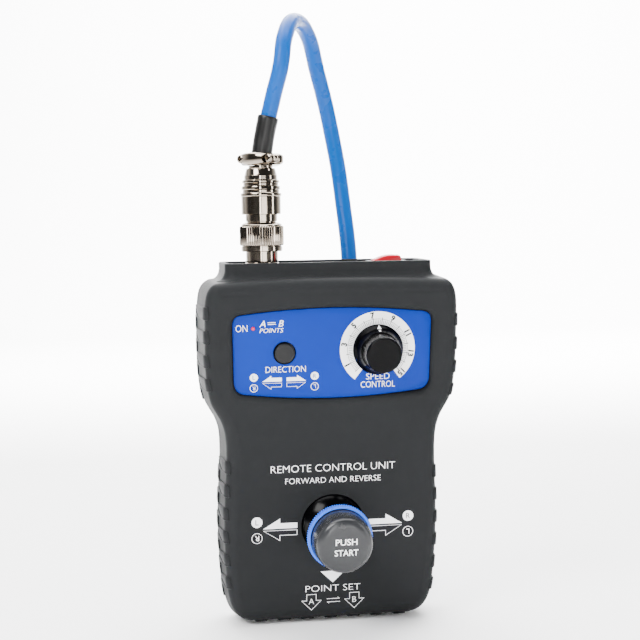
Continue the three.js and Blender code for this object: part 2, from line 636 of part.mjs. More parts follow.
// ---------------------------------------------------------------- control panel pieces
function buildPanel() {
  const n0 = -(PANEL.depth + PANEL.thick);
  const plate = solid(outward(loft([panelRing(0, n0), panelRing(0, -PANEL.depth)])));
  const holes = [
    faceRod(BUTTON.hole, -6, 2, 24).translate(BUTTON.x, 0, BUTTON.v),
    faceRod(LED.r + 0.1, -6, 2, 12).translate(LED.x, 0, LED.v),
    faceRod(3.7, -6, 2, 20).translate(DIAL.x, 0, DIAL.v),
  ].map(solid);
  part(face, 'panel_overlay', cut(plate, ...holes), PANEL_BLUE());
}

function placed(name, geometry, look, x, v) {
  const mesh = part(face, name, geometry, look);
  mesh.position.set(x, 0, v);
  return mesh;
}

function buildLed() {
  placed('status_led', faceTurned([[0, BOARD.n + GAP], [1.6, BOARD.n + GAP], [1.6, -5.6], [0.75, -5.4],
    [0.75, -2.0], [0.55, -1.75], [0, -1.6]], 14), material(0xd8206a, 0.3), LED.x, LED.v);
}

function buildDirectionButton() {
  const cap = faceTurned([[0, -8.2], [1.5, -8.2], [1.5, -6.6], [5.6, -6.6], [5.6, -5.5], [BUTTON.r, -5.5],
    [BUTTON.r, -1.2], [BUTTON.r - 0.4, -0.8], [0, -0.8]], 28);
  placed('direction_button', cap, BUTTON_GREY(), BUTTON.x, BUTTON.v);
  placed('direction_switch_plunger', faceRod(1.6, -11, -8.4, 14), BLACK(), BUTTON.x, BUTTON.v);
  const box = solid(faceBlock(-6, 6, BOARD.n + GAP, -9.4, -6, 6));
  const housing = cut(box, solid(faceRod(1.9, -12.2, -8, 12)));
  placed('direction_switch_housing', housing, BLACK(), BUTTON.x, BUTTON.v);
}

function knobBody() {
  const k = KNOB;
  const skirt = solid(faceTurned([[0, k.base], [k.skirt - 0.2, k.base], [k.skirt, k.base + 0.3],
    [k.skirt, k.base + 1.2], [8.9, 1.6], [8.2, 3.2], [7.9, 4.2], [0, 4.2]], 24));
  const flutes = 20;
  const shape = new THREE.Shape();
  for (let i = 0; i < flutes * 2; i += 1) {
    const angle = (i / flutes) * Math.PI;
    const radius = i % 2 === 0 ? k.body : k.body - 0.3;
    shape.lineTo(radius * Math.cos(angle), radius * Math.sin(angle));
  }
  const grip = solid(new THREE.ExtrudeGeometry(shape, { depth: k.top - 4.6, bevelEnabled: false })
    .rotateX(Math.PI / 2).translate(0, -4, 0));
  const crown = solid(faceTurned([[0, k.top - 1], [k.body - 0.3, k.top - 1], [k.body - 0.3, k.top - 0.6],
    [k.body - 0.9, k.top], [0, k.top]], 20));
  const hollow = solid(faceRod(7.0, k.base - 1, 1.4, 20));
  const bore = solid(faceRod(3.15, 0, 9.6, 20));
  const grubHole = solid(rodAlongX(1.6, 0, 9, 12).translate(0, -7.2, 0));
  return cut(joined(skirt, grip, crown), hollow, bore, grubHole);
}

function buildSpeedControl() {
  placed('speed_knob', knobBody(), GLOSS_BLACK(), DIAL.x, DIAL.v);
  placed('knob_grub_screw', rodAlongX(1.45, 3.3, 6.4, 12).translate(0, -7.2, 0), STEEL(), DIAL.x, DIAL.v);
  placed('potentiometer_shaft', faceRod(3.0, -6.5, 9.2, 20), STEEL(), DIAL.x, DIAL.v);
  const can = faceTurned([[0, -12.8], [8.2, -12.8], [8.2, -5.4], [3.5, -5.4], [3.5, 0.6], [3.08, 0.6],
    [3.08, -7.2], [0, -7.2]], 20);
  const lugs = [-5, 0, 5].map((x) => solid(faceBlock(x - 0.6, x + 0.6, -8.2, -7.4, -11.4, -5)));
  placed('potentiometer_body', joined(solid(can), ...lugs), STEEL(), DIAL.x, DIAL.v);
  placed('potentiometer_nut', hexNut(), NICKEL(), DIAL.x, DIAL.v);
}

function hexNut() {
  const low = -PANEL.depth + GAP;
  const body = solid(new THREE.CylinderGeometry(5.7, 5.7, 1.8, 6).translate(0, -(low + 0.9), 0));
  return cut(body, solid(faceRod(3.75, -4, 3, 20)));
}

function buildControlBoard() {
  const { n, thick } = BOARD;
  const board = solid(faceBlock(-43, 43, n - thick, n, 95, 134));
  const notches = [[-43, 103.5], [43, 103.5]].map(([x, v]) => solid(
    faceBlock(x - 7, x + 7, n - 3, n + 1, v - 5, v + 5)));
  part(face, 'control_board', cut(board, ...notches), BOARD_GREEN());
}

// ---------------------------------------------------------------- joystick
function joyHousing() {
  const d = DECK;
  const deck = solid(faceBlock(-d.half, d.half, d.low, d.top, -d.half, d.half));
  const box = solid(faceBlock(-11.5, 11.5, -21.5, d.top - 0.1, -11.5, 11.5));
  const room = solid(faceBlock(-9.8, 9.8, -19.9, -8, -9.8, 9.8));
  const posts = [-1, 1].map((side) => solid(faceBlock(-3, 3, -15, -6.2, side * 10 - 1.3, side * 10 + 1.3)));
  const pinHole = solid(rod(1.56, -12, 12, 16).translate(0, -STICK.pivot, 0));
  const screwHoles = [-1, 1].flatMap((i) => [-1, 1].map((j) => solid(
    faceRod(1.5, -16, -9, 12).translate(i * JOY_SCREW, 0, j * JOY_SCREW))));
  return cut(cut(joined(deck, box), room).add(joined(...posts)), pinHole, ...screwHoles);
}

const joySensorRight = () => faceBlock(11.8, 16.4, -21, DECK.low - GAP, -4.8, 4.8);
const joySensorTop = () => faceBlock(-4.8, 4.8, -21, DECK.low - GAP, 11.8, 16.4);

function joyYoke() {
  const ring = solid(faceBlock(-7.4, 7.4, STICK.pivot - 2, STICK.pivot + 2, -6.8, 6.8));
  const window = solid(faceBlock(-5.2, 5.2, -14, -4, -4.6, 4.6));
  const pins = [-1, 1].map((side) => solid(rod(1.5, 6, 10.9, 16)
    .rotateX(side > 0 ? 0 : Math.PI).translate(0, -STICK.pivot, 0)));
  const crossHole = solid(rodAlongX(1.36, -9, 9, 16).translate(0, -STICK.pivot, 0));
  return cut(cut(ring, window).add(joined(...pins)), crossHole);
}

function joyStick() {
  const stem = solid(faceTurned(
    [[0, -15.5], [1.6, -15.5], [2.4, -12], [2.6, -9], [2.6, 13.2], [0, 13.2]], 14));
  const pin = solid(rodAlongX(1.3, -7.2, 7.2, 16).translate(0, -STICK.pivot, 0));
  const hub = solid(rodAlongX(3.2, -4.4, 4.4, 16).translate(0, -STICK.pivot, 0));
  return joined(stem, pin, hub);
}

// Part-spherical skirt that turns about the pivot inside the hole in the case.
function joyDome() {
  const [R, thick, c] = [STICK.dome, 1.4, STICK.pivot];
  const arc = (radius, from, to, steps) => Array.from({ length: steps + 1 }, (_, i) => {
    const angle = (from + (to - from) * (i / steps)) * DEG;
    return [radius * Math.sin(angle), c + radius * Math.cos(angle)];
  });
  const inner = arc(R - thick, 76, 16, 4);
  const outer = arc(R, 30, 76, 5);
  return faceTurned([[2.75, 5.0], ...inner.reverse(), ...outer.reverse(), [7.4, 6.0], [7.2, 13.4],
    [2.75, 13.4], [2.75, 5.0]], 24);
}

function joyRing() {
  const ribs = 30;
  const shape = new THREE.Shape();
  for (let i = 0; i < ribs * 2; i += 1) {
    const angle = (i / ribs) * Math.PI;
    const radius = i % 2 === 0 ? 13.4 : 13.0;
    shape.lineTo(radius * Math.cos(angle), radius * Math.sin(angle));
  }
  const rim = solid(new THREE.ExtrudeGeometry(shape, { depth: 3.8, bevelEnabled: false })
    .rotateX(Math.PI / 2).translate(0, -14, 0));
  const foot = solid(faceTurned([[0, 13.7], [9, 13.7], [12.6, 14.3], [12.6, 15], [0, 15]], 24));
  const well = solid(faceTurned([[0, 15], [12.4, 15], [12.4, 20], [0, 20]], 24));
  return cut(joined(rim, foot), well, solid(faceRod(2.75, 10, 16, 18)));
}

function startSwitch() {
  const base = solid(faceBlock(-3, 3, 15.3, 18.8, -3, 3));
  const well = solid(faceRod(1.9, 16.2, 20, 14));
  return cut(base, well);
}

function startButton() {
  const wall = faceTurned([[12.0, 16.9], [12.0, 19.5], [11.75, 25.6], [11.2, 27.6], [10.2, 28.8], [8, 29.4],
    [4, 29.75], [0, 29.8], [0, 27.4], [8.6, 27.0], [10.4, 25.4], [10.4, 16.9], [12.0, 16.9]], 24);
  const prong = faceRod(1.5, 17.9, 28, 14);
  return joined(solid(wall), solid(prong));
}

function buildJoystick() {
  const v = STICK.v;
  placed('joystick_housing', joyHousing(), BLACK(), 0, v);
  placed('joystick_sensor_right', joySensorRight(), BLACK(), 0, v);
  placed('joystick_sensor_top', joySensorTop(), BLACK(), 0, v);
  placed('joystick_yoke', joyYoke(), STEEL(), 0, v);
  placed('joystick_stick', joyStick(), STEEL(), 0, v);
  placed('joystick_dome', joyDome(), GLOSS_BLACK(), 0, v);
  placed('joystick_ring', joyRing(), RING_BLUE(), 0, v);
  placed('start_switch', startSwitch(), BLACK(), 0, v);
  placed('start_button', startButton(), BUTTON_GREY(), 0, v);
  [-1, 1].flatMap((i) => [-1, 1].map((j) => [i, j])).forEach(([i, j], index) => {
    const mesh = placed(`joystick_screw_${index + 1}`, screw(2.1, 1.4, 0.9, 6.5), STEEL(),
      i * JOY_SCREW, v + j * JOY_SCREW);
    mesh.rotation.x = -Math.PI / 2;
    mesh.position.y = GAP - DECK.low;
  });
}

// ---------------------------------------------------------------- cord, coil and far plug
// Route of the cord's free stretch, from the sleeve over the arch and down behind the case.
const ROUTE = [
  [-21.75, 0, 212.3], [-19.6, -1.6, 221.5], [-17.3, -4.6, 231.2], [-14.3, 1.0, 245.2], [-8.2, 14, 252.6],
  [-0.5, 28, 248.2], [5.3, 39, 233.5], [9.7, 44, 219.3], [12.9, 45, 204.2], [15.1, 43, 189.2],
  [16.2, 38.5, 173.7], [16.8, 32.5, 158.9], [16.8, 27.5, 143], [16.6, 24.4, 125], [16.4, 22.6, 105],
  [16.2, 21.8, 85], [16.0, 21.6, 66], [15.4, 21.6, 50], [11.6, 21.9, 35], [1.5, 23.4, 24.2],
  [-13, 30.5, 18.9],
];
// Short tail from the coil to the far plug, which lies behind it.
const TAIL = [[-27.8, 94.0, 4.0], [-21.8, 102.4, 4.6], [-13, 111.4, 6.2], [-3.6, 117.2, 8.4],
  [6.4, 118.8, 9.2]];
const COIL = { x: 12, y: 64, mean: 35, half: 10.5, high: 14.1 };
const FAR = { x: 60.6, y: 118.8, z: NUT_R + 0.05, turn: 65 * DEG };

function cordTube(points, steps) {
  const corners = points.map((point) => new THREE.Vector3(...point));
  const path = new THREE.CatmullRomCurve3(corners, false, 'centripetal');
  const section = new THREE.Shape();
  section.absarc(0, 0, CORD_R, 0, 2 * Math.PI);
  return new THREE.ExtrudeGeometry(section, { extrudePath: path, steps, curveSegments: 4 });
}

function buildCord() {
  part(assembly, 'cord', cordTube(ROUTE, 34), CORD_BLUE());
  part(assembly, 'cord_tail', cordTube(TAIL, 4), CORD_BLUE());
  const { mean, half, high } = COIL;
  const bevel = 2;
  const [inner, outer] = [mean - half, mean + half];
  const ring = turned([[inner, bevel], [inner + bevel, 0], [outer - bevel, 0], [outer, bevel],
    [outer, high - bevel], [outer - bevel, high], [inner + bevel, high], [inner, high - bevel],
    [inner, bevel]], 28);
  part(assembly, 'cord_coil', ring, CORD_BLUE()).position.set(COIL.x, COIL.y, 0);
}

function buildFarPlug() {
  const plug = plugSet('far_');
  const boot = part(plug, 'far_heat_shrink_sleeve', sleeve(0), BLACK());
  boot.position.z = SLEEVE.low;
  plug.rotation.set(0, -Math.PI / 2, FAR.turn);
  plug.position.set(FAR.x, FAR.y, FAR.z);
  assembly.add(plug);
}

// ---------------------------------------------------------------- assembly
buildShells();
buildMainBoard();
buildCaseScrews();
buildEndPanel();
buildPowerSwitch();
buildConnector();
buildPanel();
buildLed();
buildDirectionButton();
buildSpeedControl();
buildControlBoard();
buildJoystick();

// The origin is the bottom centre of the controller itself, without its free cord.
const size = new THREE.Box3().setFromObject(assembly, true);
assembly.position.y = -(size.min.y + size.max.y) / 2;
buildCord();
buildFarPlug();

const slider_controller = new THREE.Group();
slider_controller.add(assembly);
export default slider_controller;
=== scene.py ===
"""Looks of the slider's hand-held motion controller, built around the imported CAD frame.

Lengths are in millimetres in the constants and helpers and become metres when a mesh is made; the camera
and the lights are placed in metres.
X is to the user's right, -Y out of the control face, +Z up. On the tilted control face, x runs right,
v up the face and n out of it, as in the CAD.
"""
import json
from math import atan2, copysign, cos, degrees, dist, pi, radians, sin, sqrt, tan

import bmesh
import bpy
from mathutils import Matrix, Vector


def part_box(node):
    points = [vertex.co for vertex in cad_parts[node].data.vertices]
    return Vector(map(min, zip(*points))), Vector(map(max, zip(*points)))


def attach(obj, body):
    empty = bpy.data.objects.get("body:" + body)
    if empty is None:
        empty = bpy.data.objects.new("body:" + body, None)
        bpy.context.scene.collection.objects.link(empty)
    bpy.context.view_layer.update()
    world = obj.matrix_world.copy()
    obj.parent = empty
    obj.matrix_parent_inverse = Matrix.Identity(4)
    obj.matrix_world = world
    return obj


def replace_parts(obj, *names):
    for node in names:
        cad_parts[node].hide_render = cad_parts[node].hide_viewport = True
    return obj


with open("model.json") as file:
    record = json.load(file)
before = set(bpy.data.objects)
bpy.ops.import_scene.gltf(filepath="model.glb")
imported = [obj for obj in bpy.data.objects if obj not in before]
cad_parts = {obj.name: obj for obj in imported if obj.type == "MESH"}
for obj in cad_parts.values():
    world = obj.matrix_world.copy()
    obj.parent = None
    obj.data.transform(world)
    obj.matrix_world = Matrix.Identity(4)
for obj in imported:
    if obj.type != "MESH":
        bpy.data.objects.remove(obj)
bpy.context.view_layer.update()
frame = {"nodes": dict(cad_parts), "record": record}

MM = 0.001


def shift(x, y, z):
    return Matrix.Translation((x, y, z))


def spin(angle, axis):
    return Matrix.Rotation(angle, 4, axis)


def box_mm(node):
    """Lowest and highest corner of a CAD node, in millimetres."""
    low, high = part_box(node)
    return Vector(low) / MM, Vector(high) / MM


# ---- driving dimensions
TILT = radians(6.2)
GAP = 0.3
WALL = 2.4
HEIGHT = box_mm("front_shell")[1].z
FRONT_AT_BASE = 11.65
REAR_DEPTH = 15.0
EDGE = 5.5
DRAFT = 1.0
PAD = 0.6
PARTING = box_mm("rear_shell")[1].y - REAR_DEPTH
COLLAR = {"half": 43.0, "front": -18.5, "rear": 12.5, "corner": 4.5, "wall": 2.3, "foot": 138.0}
END_PANEL_TOP = box_mm("top_end_panel")[1].z
PANEL = {"x": -0.2, "half_top": 41.0, "half_low": 40.6, "low": 98.4, "high": 131.4, "bow": 2.2,
         "corner": 4.4, "corner_low": 6.2, "depth": 2.0, "thick": 0.8}
LED = (-32.8, 125.8)
BUTTON = (-20.0, 115.4)
BUTTON_HOLE = 4.75
DIAL = (18.5, 116.05)
STICK = {"v": 42.4, "pivot": -9.0, "dome": 15.6, "clear": 0.5}
SOCKET_X = -25.6
PLUG_LIFT = 159.0
CLAMP_TURN = radians(43)
NUT_R = 9.15
CORD_R = 3.5
PAD_PITCH = 9.85
PAD_LENGTH = 5.6
FACE = shift(0, PARTING - FRONT_AT_BASE, 0) @ spin(TILT, "X")


# ---- camera
def placed(name, data):
    """A new object in the scene."""
    obj = bpy.data.objects.new(name, data)
    bpy.context.scene.collection.objects.link(obj)
    return obj


def make_camera():
    """The photograph's view: a long lens, a little to the left of the controller and above it."""
    azimuth, elevation, roll = radians(-9.5), radians(4.1), radians(0.85)
    spot = shift(-0.1124, -0.66278 + PARTING * MM, 0.17462)
    data = bpy.data.cameras.new("camera")
    data.sensor_width = 36
    data.lens = 90
    data.clip_start = 0.01
    data.dof.use_dof = False
    camera = placed("camera", data)
    camera.matrix_world = spot @ spin(azimuth, "Z") @ spin(pi / 2 - elevation, "X") @ spin(-roll, "Z")
    bpy.context.scene.camera = camera


make_camera()


# ---- materials
def linear(red, green, blue):
    """A colour given as 0-255 display values, as Blender's linear colour."""
    def one(value):
        value /= 255
        return value / 12.92 if value <= 0.04045 else ((value + 0.055) / 1.055) ** 2.4
    return (one(red), one(green), one(blue), 1.0)


def set_inputs(node, values):
    for key, value in values.items():
        node.inputs[key].default_value = value


def cloud(made, size, detail):
    """A cloudy texture fixed to the piece, of that size in millimetres."""
    nodes, links = made.node_tree.nodes, made.node_tree.links
    place = nodes.new("ShaderNodeTexCoord")
    noise = nodes.new("ShaderNodeTexNoise")
    set_inputs(noise, {"Scale": 1 / (size * MM), "Detail": detail})
    links.new(place.outputs["Object"], noise.inputs["Vector"])
    return noise.outputs["Fac"]


def material(name, colour, finish, metallic=0.0, grain=None, specular=0.5, ior=1.5):
    """A node-based material of a 0-255 display colour. finish is (size in mm, lowest and highest roughness)
    of its uneven finish, grain is (size in mm, height in mm) of a fine bump."""
    made = bpy.data.materials.new(name)
    made.use_nodes = True
    nodes, links = made.node_tree.nodes, made.node_tree.links
    shader = nodes["Principled BSDF"]
    size, lowest, highest = finish
    set_inputs(shader, {"Base Color": linear(*colour), "Roughness": (lowest + highest) / 2,
                        "Metallic": metallic, "Specular IOR Level": specular, "IOR": ior})
    span = nodes.new("ShaderNodeMapRange")
    set_inputs(span, {"To Min": lowest, "To Max": highest})
    links.new(cloud(made, size, 3), span.inputs["Value"])
    links.new(span.outputs["Result"], shader.inputs["Roughness"])
    if grain:
        bump = nodes.new("ShaderNodeBump")
        set_inputs(bump, {"Distance": grain[1] * MM, "Strength": 0.6})
        links.new(cloud(made, grain[0], 2), bump.inputs["Height"])
        links.new(bump.outputs["Normal"], shader.inputs["Normal"])
    return made


CASE_GREY = material("case_grey", (33, 34, 35), (9, 0.38, 0.48), grain=(0.5, 0.05), ior=1.07)
BLACK = material("black_plastic", (10, 10, 11), (6, 0.38, 0.5), grain=(0.6, 0.02), specular=0.15)
GLOSS_BLACK = material("gloss_black", (2, 2, 3), (4, 0.15, 0.23), ior=1.16)
CAP_GREY = material("cap_grey", (36, 37, 39), (5, 0.22, 0.3), ior=1.4)
BUTTON_GREY = material("button_grey", (15, 15, 16), (3, 0.36, 0.48), specular=0.2)
PANEL_BLUE = material("panel_blue", (0, 38, 132), (12, 0.36, 0.44), specular=0.1)
RING_BLUE = material("ring_blue", (52, 112, 236), (3, 0.36, 0.48), specular=0.2)
CORD_BLUE = material("cord_blue", (0, 70, 146), (7, 0.24, 0.32), ior=1.2)
PRINT_WHITE = material("print_white", (250, 250, 250), (4, 0.45, 0.55))
PRINT_BLACK = material("print_black", (10, 11, 14), (4, 0.45, 0.55), specular=0.1)
SIGNAL_RED = material("signal_red", (175, 2, 30), (4, 0.18, 0.26), specular=0.4)
LED_RED = material("led_red", (200, 14, 80), (2, 0.15, 0.25))
HEAT_SHRINK = material("heat_shrink", (10, 10, 10), (3, 0.27, 0.4), grain=(1.2, 0.04), specular=0.25)
NICKEL = material("nickel", (142, 132, 120), (3, 0.08, 0.13), metallic=1.0)
STEEL = material("steel", (168, 169, 172), (2, 0.22, 0.34), metallic=1.0)
BOARD_GREEN = material("board_green", (24, 92, 52), (6, 0.35, 0.5))
FLOOR = material("floor_pale", (250, 250, 250), (60, 0.65, 0.75))


# ---- mesh helpers
def new_object(name, mesh, look, body=None):
    obj = placed(name, mesh)
    mesh.materials.clear()
    mesh.materials.append(look)
    if body:
        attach(obj, body)
    return obj


def smooth_by_angle(mesh, degrees):
    """Smooth shading, with edges sharper than the angle kept crisp."""
    limit = radians(degrees)
    work = bmesh.new()
    work.from_mesh(mesh)
    for face in work.faces:
        face.smooth = True
    for edge in work.edges:
        edge.smooth = len(edge.link_faces) == 2 and edge.calc_face_angle(pi) < limit
    work.to_mesh(mesh)
    work.free()


def mesh_from(name, points, faces, place=None):
    """A mesh of points in millimetres, moved by place and turned to face outwards."""
    matrix = place or Matrix.Identity(4)
    mesh = bpy.data.meshes.new(name)
    mesh.from_pydata([(matrix @ Vector(point)) * MM for point in points], [], faces)
    work = bmesh.new()
    work.from_mesh(mesh)
    bmesh.ops.remove_doubles(work, verts=work.verts, dist=1e-7)
    bmesh.ops.recalc_face_normals(work, faces=work.faces)
    if work.calc_volume(signed=True) < 0:
        bmesh.ops.reverse_faces(work, faces=work.faces)
    work.to_mesh(mesh)
    work.free()
    return mesh


def solid(name, mesh, look, slot, body="case", crease=32, bevel=None, weighted=False):
    """A finished piece. bevel is (width in mm, segments)."""
    smooth_by_angle(mesh, crease)
    obj = new_object(name, mesh, look, body)
    if bevel:
        edge = obj.modifiers.new("edge", "BEVEL")
        edge.width = bevel[0] * MM
        edge.segments = bevel[1]
        edge.limit_method = "ANGLE"
        edge.angle_limit = radians(40)
        edge.harden_normals = True
    if weighted:
        even = obj.modifiers.new("even", "WEIGHTED_NORMAL")
        even.keep_sharp = True
    return obj


def bridge(rings):
    """Faces between closed rings of equal length, with a cap at both ends."""
    count = len(rings[0])
    points = [point for ring in rings for point in ring]
    faces = [tuple(range(count))[::-1], tuple(range((len(rings) - 1) * count, len(rings) * count))]
    for row in range(len(rings) - 1):
        for i in range(count):
            a, b = row * count + i, row * count + (i + 1) % count
            faces.append((a, b, b + count, a + count))
    return points, faces


def skin(name, rings, place):
    """A mesh of closed rings in millimetres, capped at both ends."""
    return mesh_from(name, *bridge(rings), place)


def lathe(profile, sides=64, closed=False):
    """Points and faces of a turned solid about Z. The profile holds (radius, height); it starts and ends on
    the axis, or is closed and meets itself."""
    points, faces, rows = [], [], []
    for radius, height in profile:
        if radius < 1e-6:
            rows.append([len(points)] * sides)
            points.append((0, 0, height))
            continue
        rows.append(list(range(len(points), len(points) + sides)))
        for i in range(sides):
            angle = 2 * pi * i / sides
            points.append((radius * cos(angle), radius * sin(angle), height))
    pairs = list(zip(rows, rows[1:] + rows[:1])) if closed else list(zip(rows, rows[1:]))
    for low, high in pairs:
        for i in range(sides):
            j = (i + 1) % sides
            corner = [low[i], low[j], high[j], high[i]]
            face = [v for k, v in enumerate(corner) if v not in corner[:k]]
            if len(face) > 2:
                faces.append(tuple(face))
    return points, faces


def arc(cx, cy, radius, start, end, steps):
    """Points of an arc, angles in degrees."""
    return [(cx + radius * cos(radians(start + (end - start) * i / steps)),
             cy + radius * sin(radians(start + (end - start) * i / steps)))
            for i in range(steps + 1)]


def bezier(p0, p1, p2, p3, steps):
    """Points of a cubic curve after its first one."""
    out = []
    for i in range(1, steps + 1):
        t = i / steps
        a, b, c, d = (1 - t) ** 3, 3 * t * (1 - t) ** 2, 3 * t * t * (1 - t), t ** 3
        out.append(tuple(a * p0[k] + b * p1[k] + c * p2[k] + d * p3[k] for k in (0, 1)))
    return out


def boolean(obj, mesh, operation):
    """Cuts a mesh out of an object's mesh, or joins it, for good."""
    tool = placed("tool", mesh)
    step = obj.modifiers.new("step", "BOOLEAN")
    step.operation = operation
    step.solver = "EXACT"
    step.object = tool
    shape = obj.evaluated_get(bpy.context.evaluated_depsgraph_get())
    result = bpy.data.meshes.new_from_object(shape)
    obj.modifiers.clear()
    obj.data = result
    bpy.data.objects.remove(tool)


def combined(name, base, cuts=(), joins=()):
    """A mesh with other meshes joined to it and then cut out of it."""
    obj = placed(name, base)
    for mesh in joins:
        boolean(obj, mesh, "UNION")
    for mesh in cuts:
        boolean(obj, mesh, "DIFFERENCE")
    mesh = obj.data
    bpy.data.objects.remove(obj)
    return mesh


def face_spot(x, v, n=0.0):
    """Matrix of a spot on the control face, whose own +Z points out of the face and +Y up it."""
    return FACE @ shift(x, -n, v) @ spin(pi / 2, "X")


def turned(name, profile, place=None, sides=64, closed=False):
    points, faces = lathe(profile, sides, closed)
    return mesh_from(name, points, faces, place)


def rod(radius, low, high, place, sides=48):
    """A plain cylinder between two heights."""
    return turned("rod", [(0, low), (radius, low), (radius, high), (0, high)], place, sides)


def cuboid(low, high, place=None):
    points = [(x, y, z) for x in (low[0], high[0]) for y in (low[1], high[1]) for z in (low[2], high[2])]
    faces = [(0, 1, 3, 2), (4, 6, 7, 5), (0, 4, 5, 1), (2, 3, 7, 6), (0, 2, 6, 4), (1, 5, 7, 3)]
    return mesh_from("cuboid", points, faces, place)


def piece(name, mesh, look, slot, node, body="case", **finish):
    """A finished piece that stands for a CAD node."""
    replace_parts(solid(name, mesh, look, slot, body, **finish), node)


# ---- cord
# The cord's free stretch, repeated from the CAD: from the sleeve over the arch and down behind the case.
ROUTE = [
    (-21.75, 0, 212.3), (-19.6, -1.6, 221.5), (-17.3, -4.6, 231.2), (-14.3, 1.0, 245.2), (-8.2, 14, 252.6),
    (-0.5, 28, 248.2), (5.3, 39, 233.5), (9.7, 44, 219.3), (12.9, 45, 204.2), (15.1, 43, 189.2),
    (16.2, 38.5, 173.7), (16.8, 32.5, 158.9), (16.8, 27.5, 143), (16.6, 24.4, 125), (16.4, 22.6, 105),
    (16.2, 21.8, 85), (16.0, 21.6, 66), (15.4, 21.6, 50), (11.6, 21.9, 35), (1.5, 23.4, 24.2),
    (-13, 30.5, 18.9),
]
TAIL = [(-27.8, 94.0, 4.0), (-21.8, 102.4, 4.6), (-13, 111.4, 6.2), (-3.6, 117.2, 8.4), (6.4, 118.8, 9.2)]
COIL_CENTRE = (12.0, 64.0)
# The cord's two ends, a little way inside the sleeves.
CORD_START = (-22.7, 0, 208.8)
CORD_END = (10.5, 118.8, 9.2)
# Each turn of the coil: its radius and height at the middle of the cord.
COIL_TURNS = [(42, 10.55), (35, 10.6), (28, 10.6), (28, 3.55), (35, 3.55), (42, 3.55)]
TURN_STEPS = 24
COIL_LENGTH_IN_TURNS = 5.19


def coil_points():
    """The coil's turns, three above and three below, from where the free stretch lands to the tail."""
    start = atan2(ROUTE[-1][1] - COIL_CENTRE[1], ROUTE[-1][0] - COIL_CENTRE[0])
    out = []
    steps = int(COIL_LENGTH_IN_TURNS * TURN_STEPS)
    for i in range(2, steps + 1):
        at = i / TURN_STEPS
        whole = min(int(at), len(COIL_TURNS) - 1)
        following = min(whole + 1, len(COIL_TURNS) - 1)
        share = min(1.0, max(0.0, (at - whole - 0.55) / 0.45))
        share = share * share * (3 - 2 * share)
        this, other = COIL_TURNS[whole], COIL_TURNS[following]
        radius, height = (this[k] * (1 - share) + other[k] * share for k in (0, 1))
        angle = start - 2 * pi * at
        x, y = COIL_CENTRE[0] + radius * cos(angle), COIL_CENTRE[1] + radius * sin(angle)
        out.append((x, y, height))
    return out


def make_cord():
    points = [CORD_START] + ROUTE + coil_points() + TAIL + [CORD_END]
    curve = bpy.data.curves.new("cord_jacket", "CURVE")
    curve.dimensions = "3D"
    curve.bevel_depth = CORD_R * MM
    curve.bevel_resolution = 6
    curve.resolution_u = 6
    curve.use_fill_caps = True
    spline = curve.splines.new("BEZIER")
    spline.bezier_points.add(len(points) - 1)
    for point, (x, y, z) in zip(spline.bezier_points, points):
        point.co = Vector((x, y + PARTING, z)) * MM
        point.handle_left_type = point.handle_right_type = "AUTO"
    curve.materials.append(CORD_BLUE)
    cord = placed("cord_jacket", curve)
    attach(cord, "case")
    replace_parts(cord, "cord", "cord_coil", "cord_tail")
    return cord


cord = make_cord()


# ---- case surface
CASE = {"base_half": 31.6, "body_half": 45.9, "waist_half": 44.8, "head_half": 53.3, "corner_top": 17.0,
        "bulge": 42.0, "waist": 73.0, "chamfer_low": 87.4, "chamfer_high": 92.2, "head_low": 116.0,
        "head_high": 130.0, "shoulder": 144.8, "crown": 146.4}
REAR_DRAFT = 0.7
SHIFTED = shift(0, PARTING, 0)


def half_outline(steps):
    """Right half of the case seen from the front, from the base up to the crown, as (x, z)."""
    c = CASE
    path = [(0.0, PAD), (c["base_half"] * 0.5, PAD), (c["base_half"], PAD)]
    path += bezier(path[-1], (41.0, PAD), (43.9, 7), (44.8, c["corner_top"]), steps + 4)
    path += bezier(path[-1], (45.4, 25), (c["body_half"], 33), (c["body_half"], c["bulge"]), steps)
    waist = (c["waist_half"], c["waist"])
    path += bezier(path[-1], (c["body_half"], 54), (c["waist_half"], 64), waist, steps)
    path += bezier(path[-1], (c["waist_half"], 80), (45.4, 83.5), (47.2, c["chamfer_low"]), steps)
    path += [(50.0, c["chamfer_high"])]
    path += bezier(path[-1], (52.0, 95.4), (c["head_half"], 104), (c["head_half"], c["head_low"]), steps)
    path += [(c["head_half"], c["head_high"])]
    path += bezier(path[-1], (c["head_half"], 138), (52.6, 142.8), (48.0, c["shoulder"]), steps)
    path += bezier(path[-1], (36.8, 146), (16, c["crown"]), (0.0, c["crown"]), steps)
    return path


def full_outline(steps):
    right = half_outline(steps)
    return right + [(-x, z) for x, z in reversed(right[1:-1])]


def normals_of(outline):
    """Outward unit normal and mitre factor at every point of a closed outline."""
    count = len(outline)
    out = []
    for i, (x, z) in enumerate(outline):
        before, after = outline[i - 1], outline[(i + 1) % count]
        a = Vector((x - before[0], z - before[1])).normalized()
        b = Vector((after[0] - x, after[1] - z)).normalized()
        bisector = Vector((a.y + b.y, -(a.x + b.x))).normalized()
        out.append((bisector, max(0.5, bisector.dot(Vector((a.y, -a.x))))))
    return out


def inset(outline, distance):
    return [(x - n.x * distance / m, z - n.y * distance / m)
            for (x, z), (n, m) in zip(outline, normals_of(outline))]


def face_y(z):
    """Y of the control face above the parting plane, at a height."""
    return -(FRONT_AT_BASE + z * tan(TILT))


def front_ring(outline, distance, behind):
    return [(x, face_y(z) + behind / cos(TILT), z) for x, z in inset(outline, distance)]


def flat_ring(outline, distance, y):
    return [(x, y, z) for x, z in inset(outline, distance)]


EDGE_STEPS = [radians(90 * i / 9) for i in range(10)]
OUTLINE = full_outline(9)
ROUGH_OUTLINE = full_outline(3)


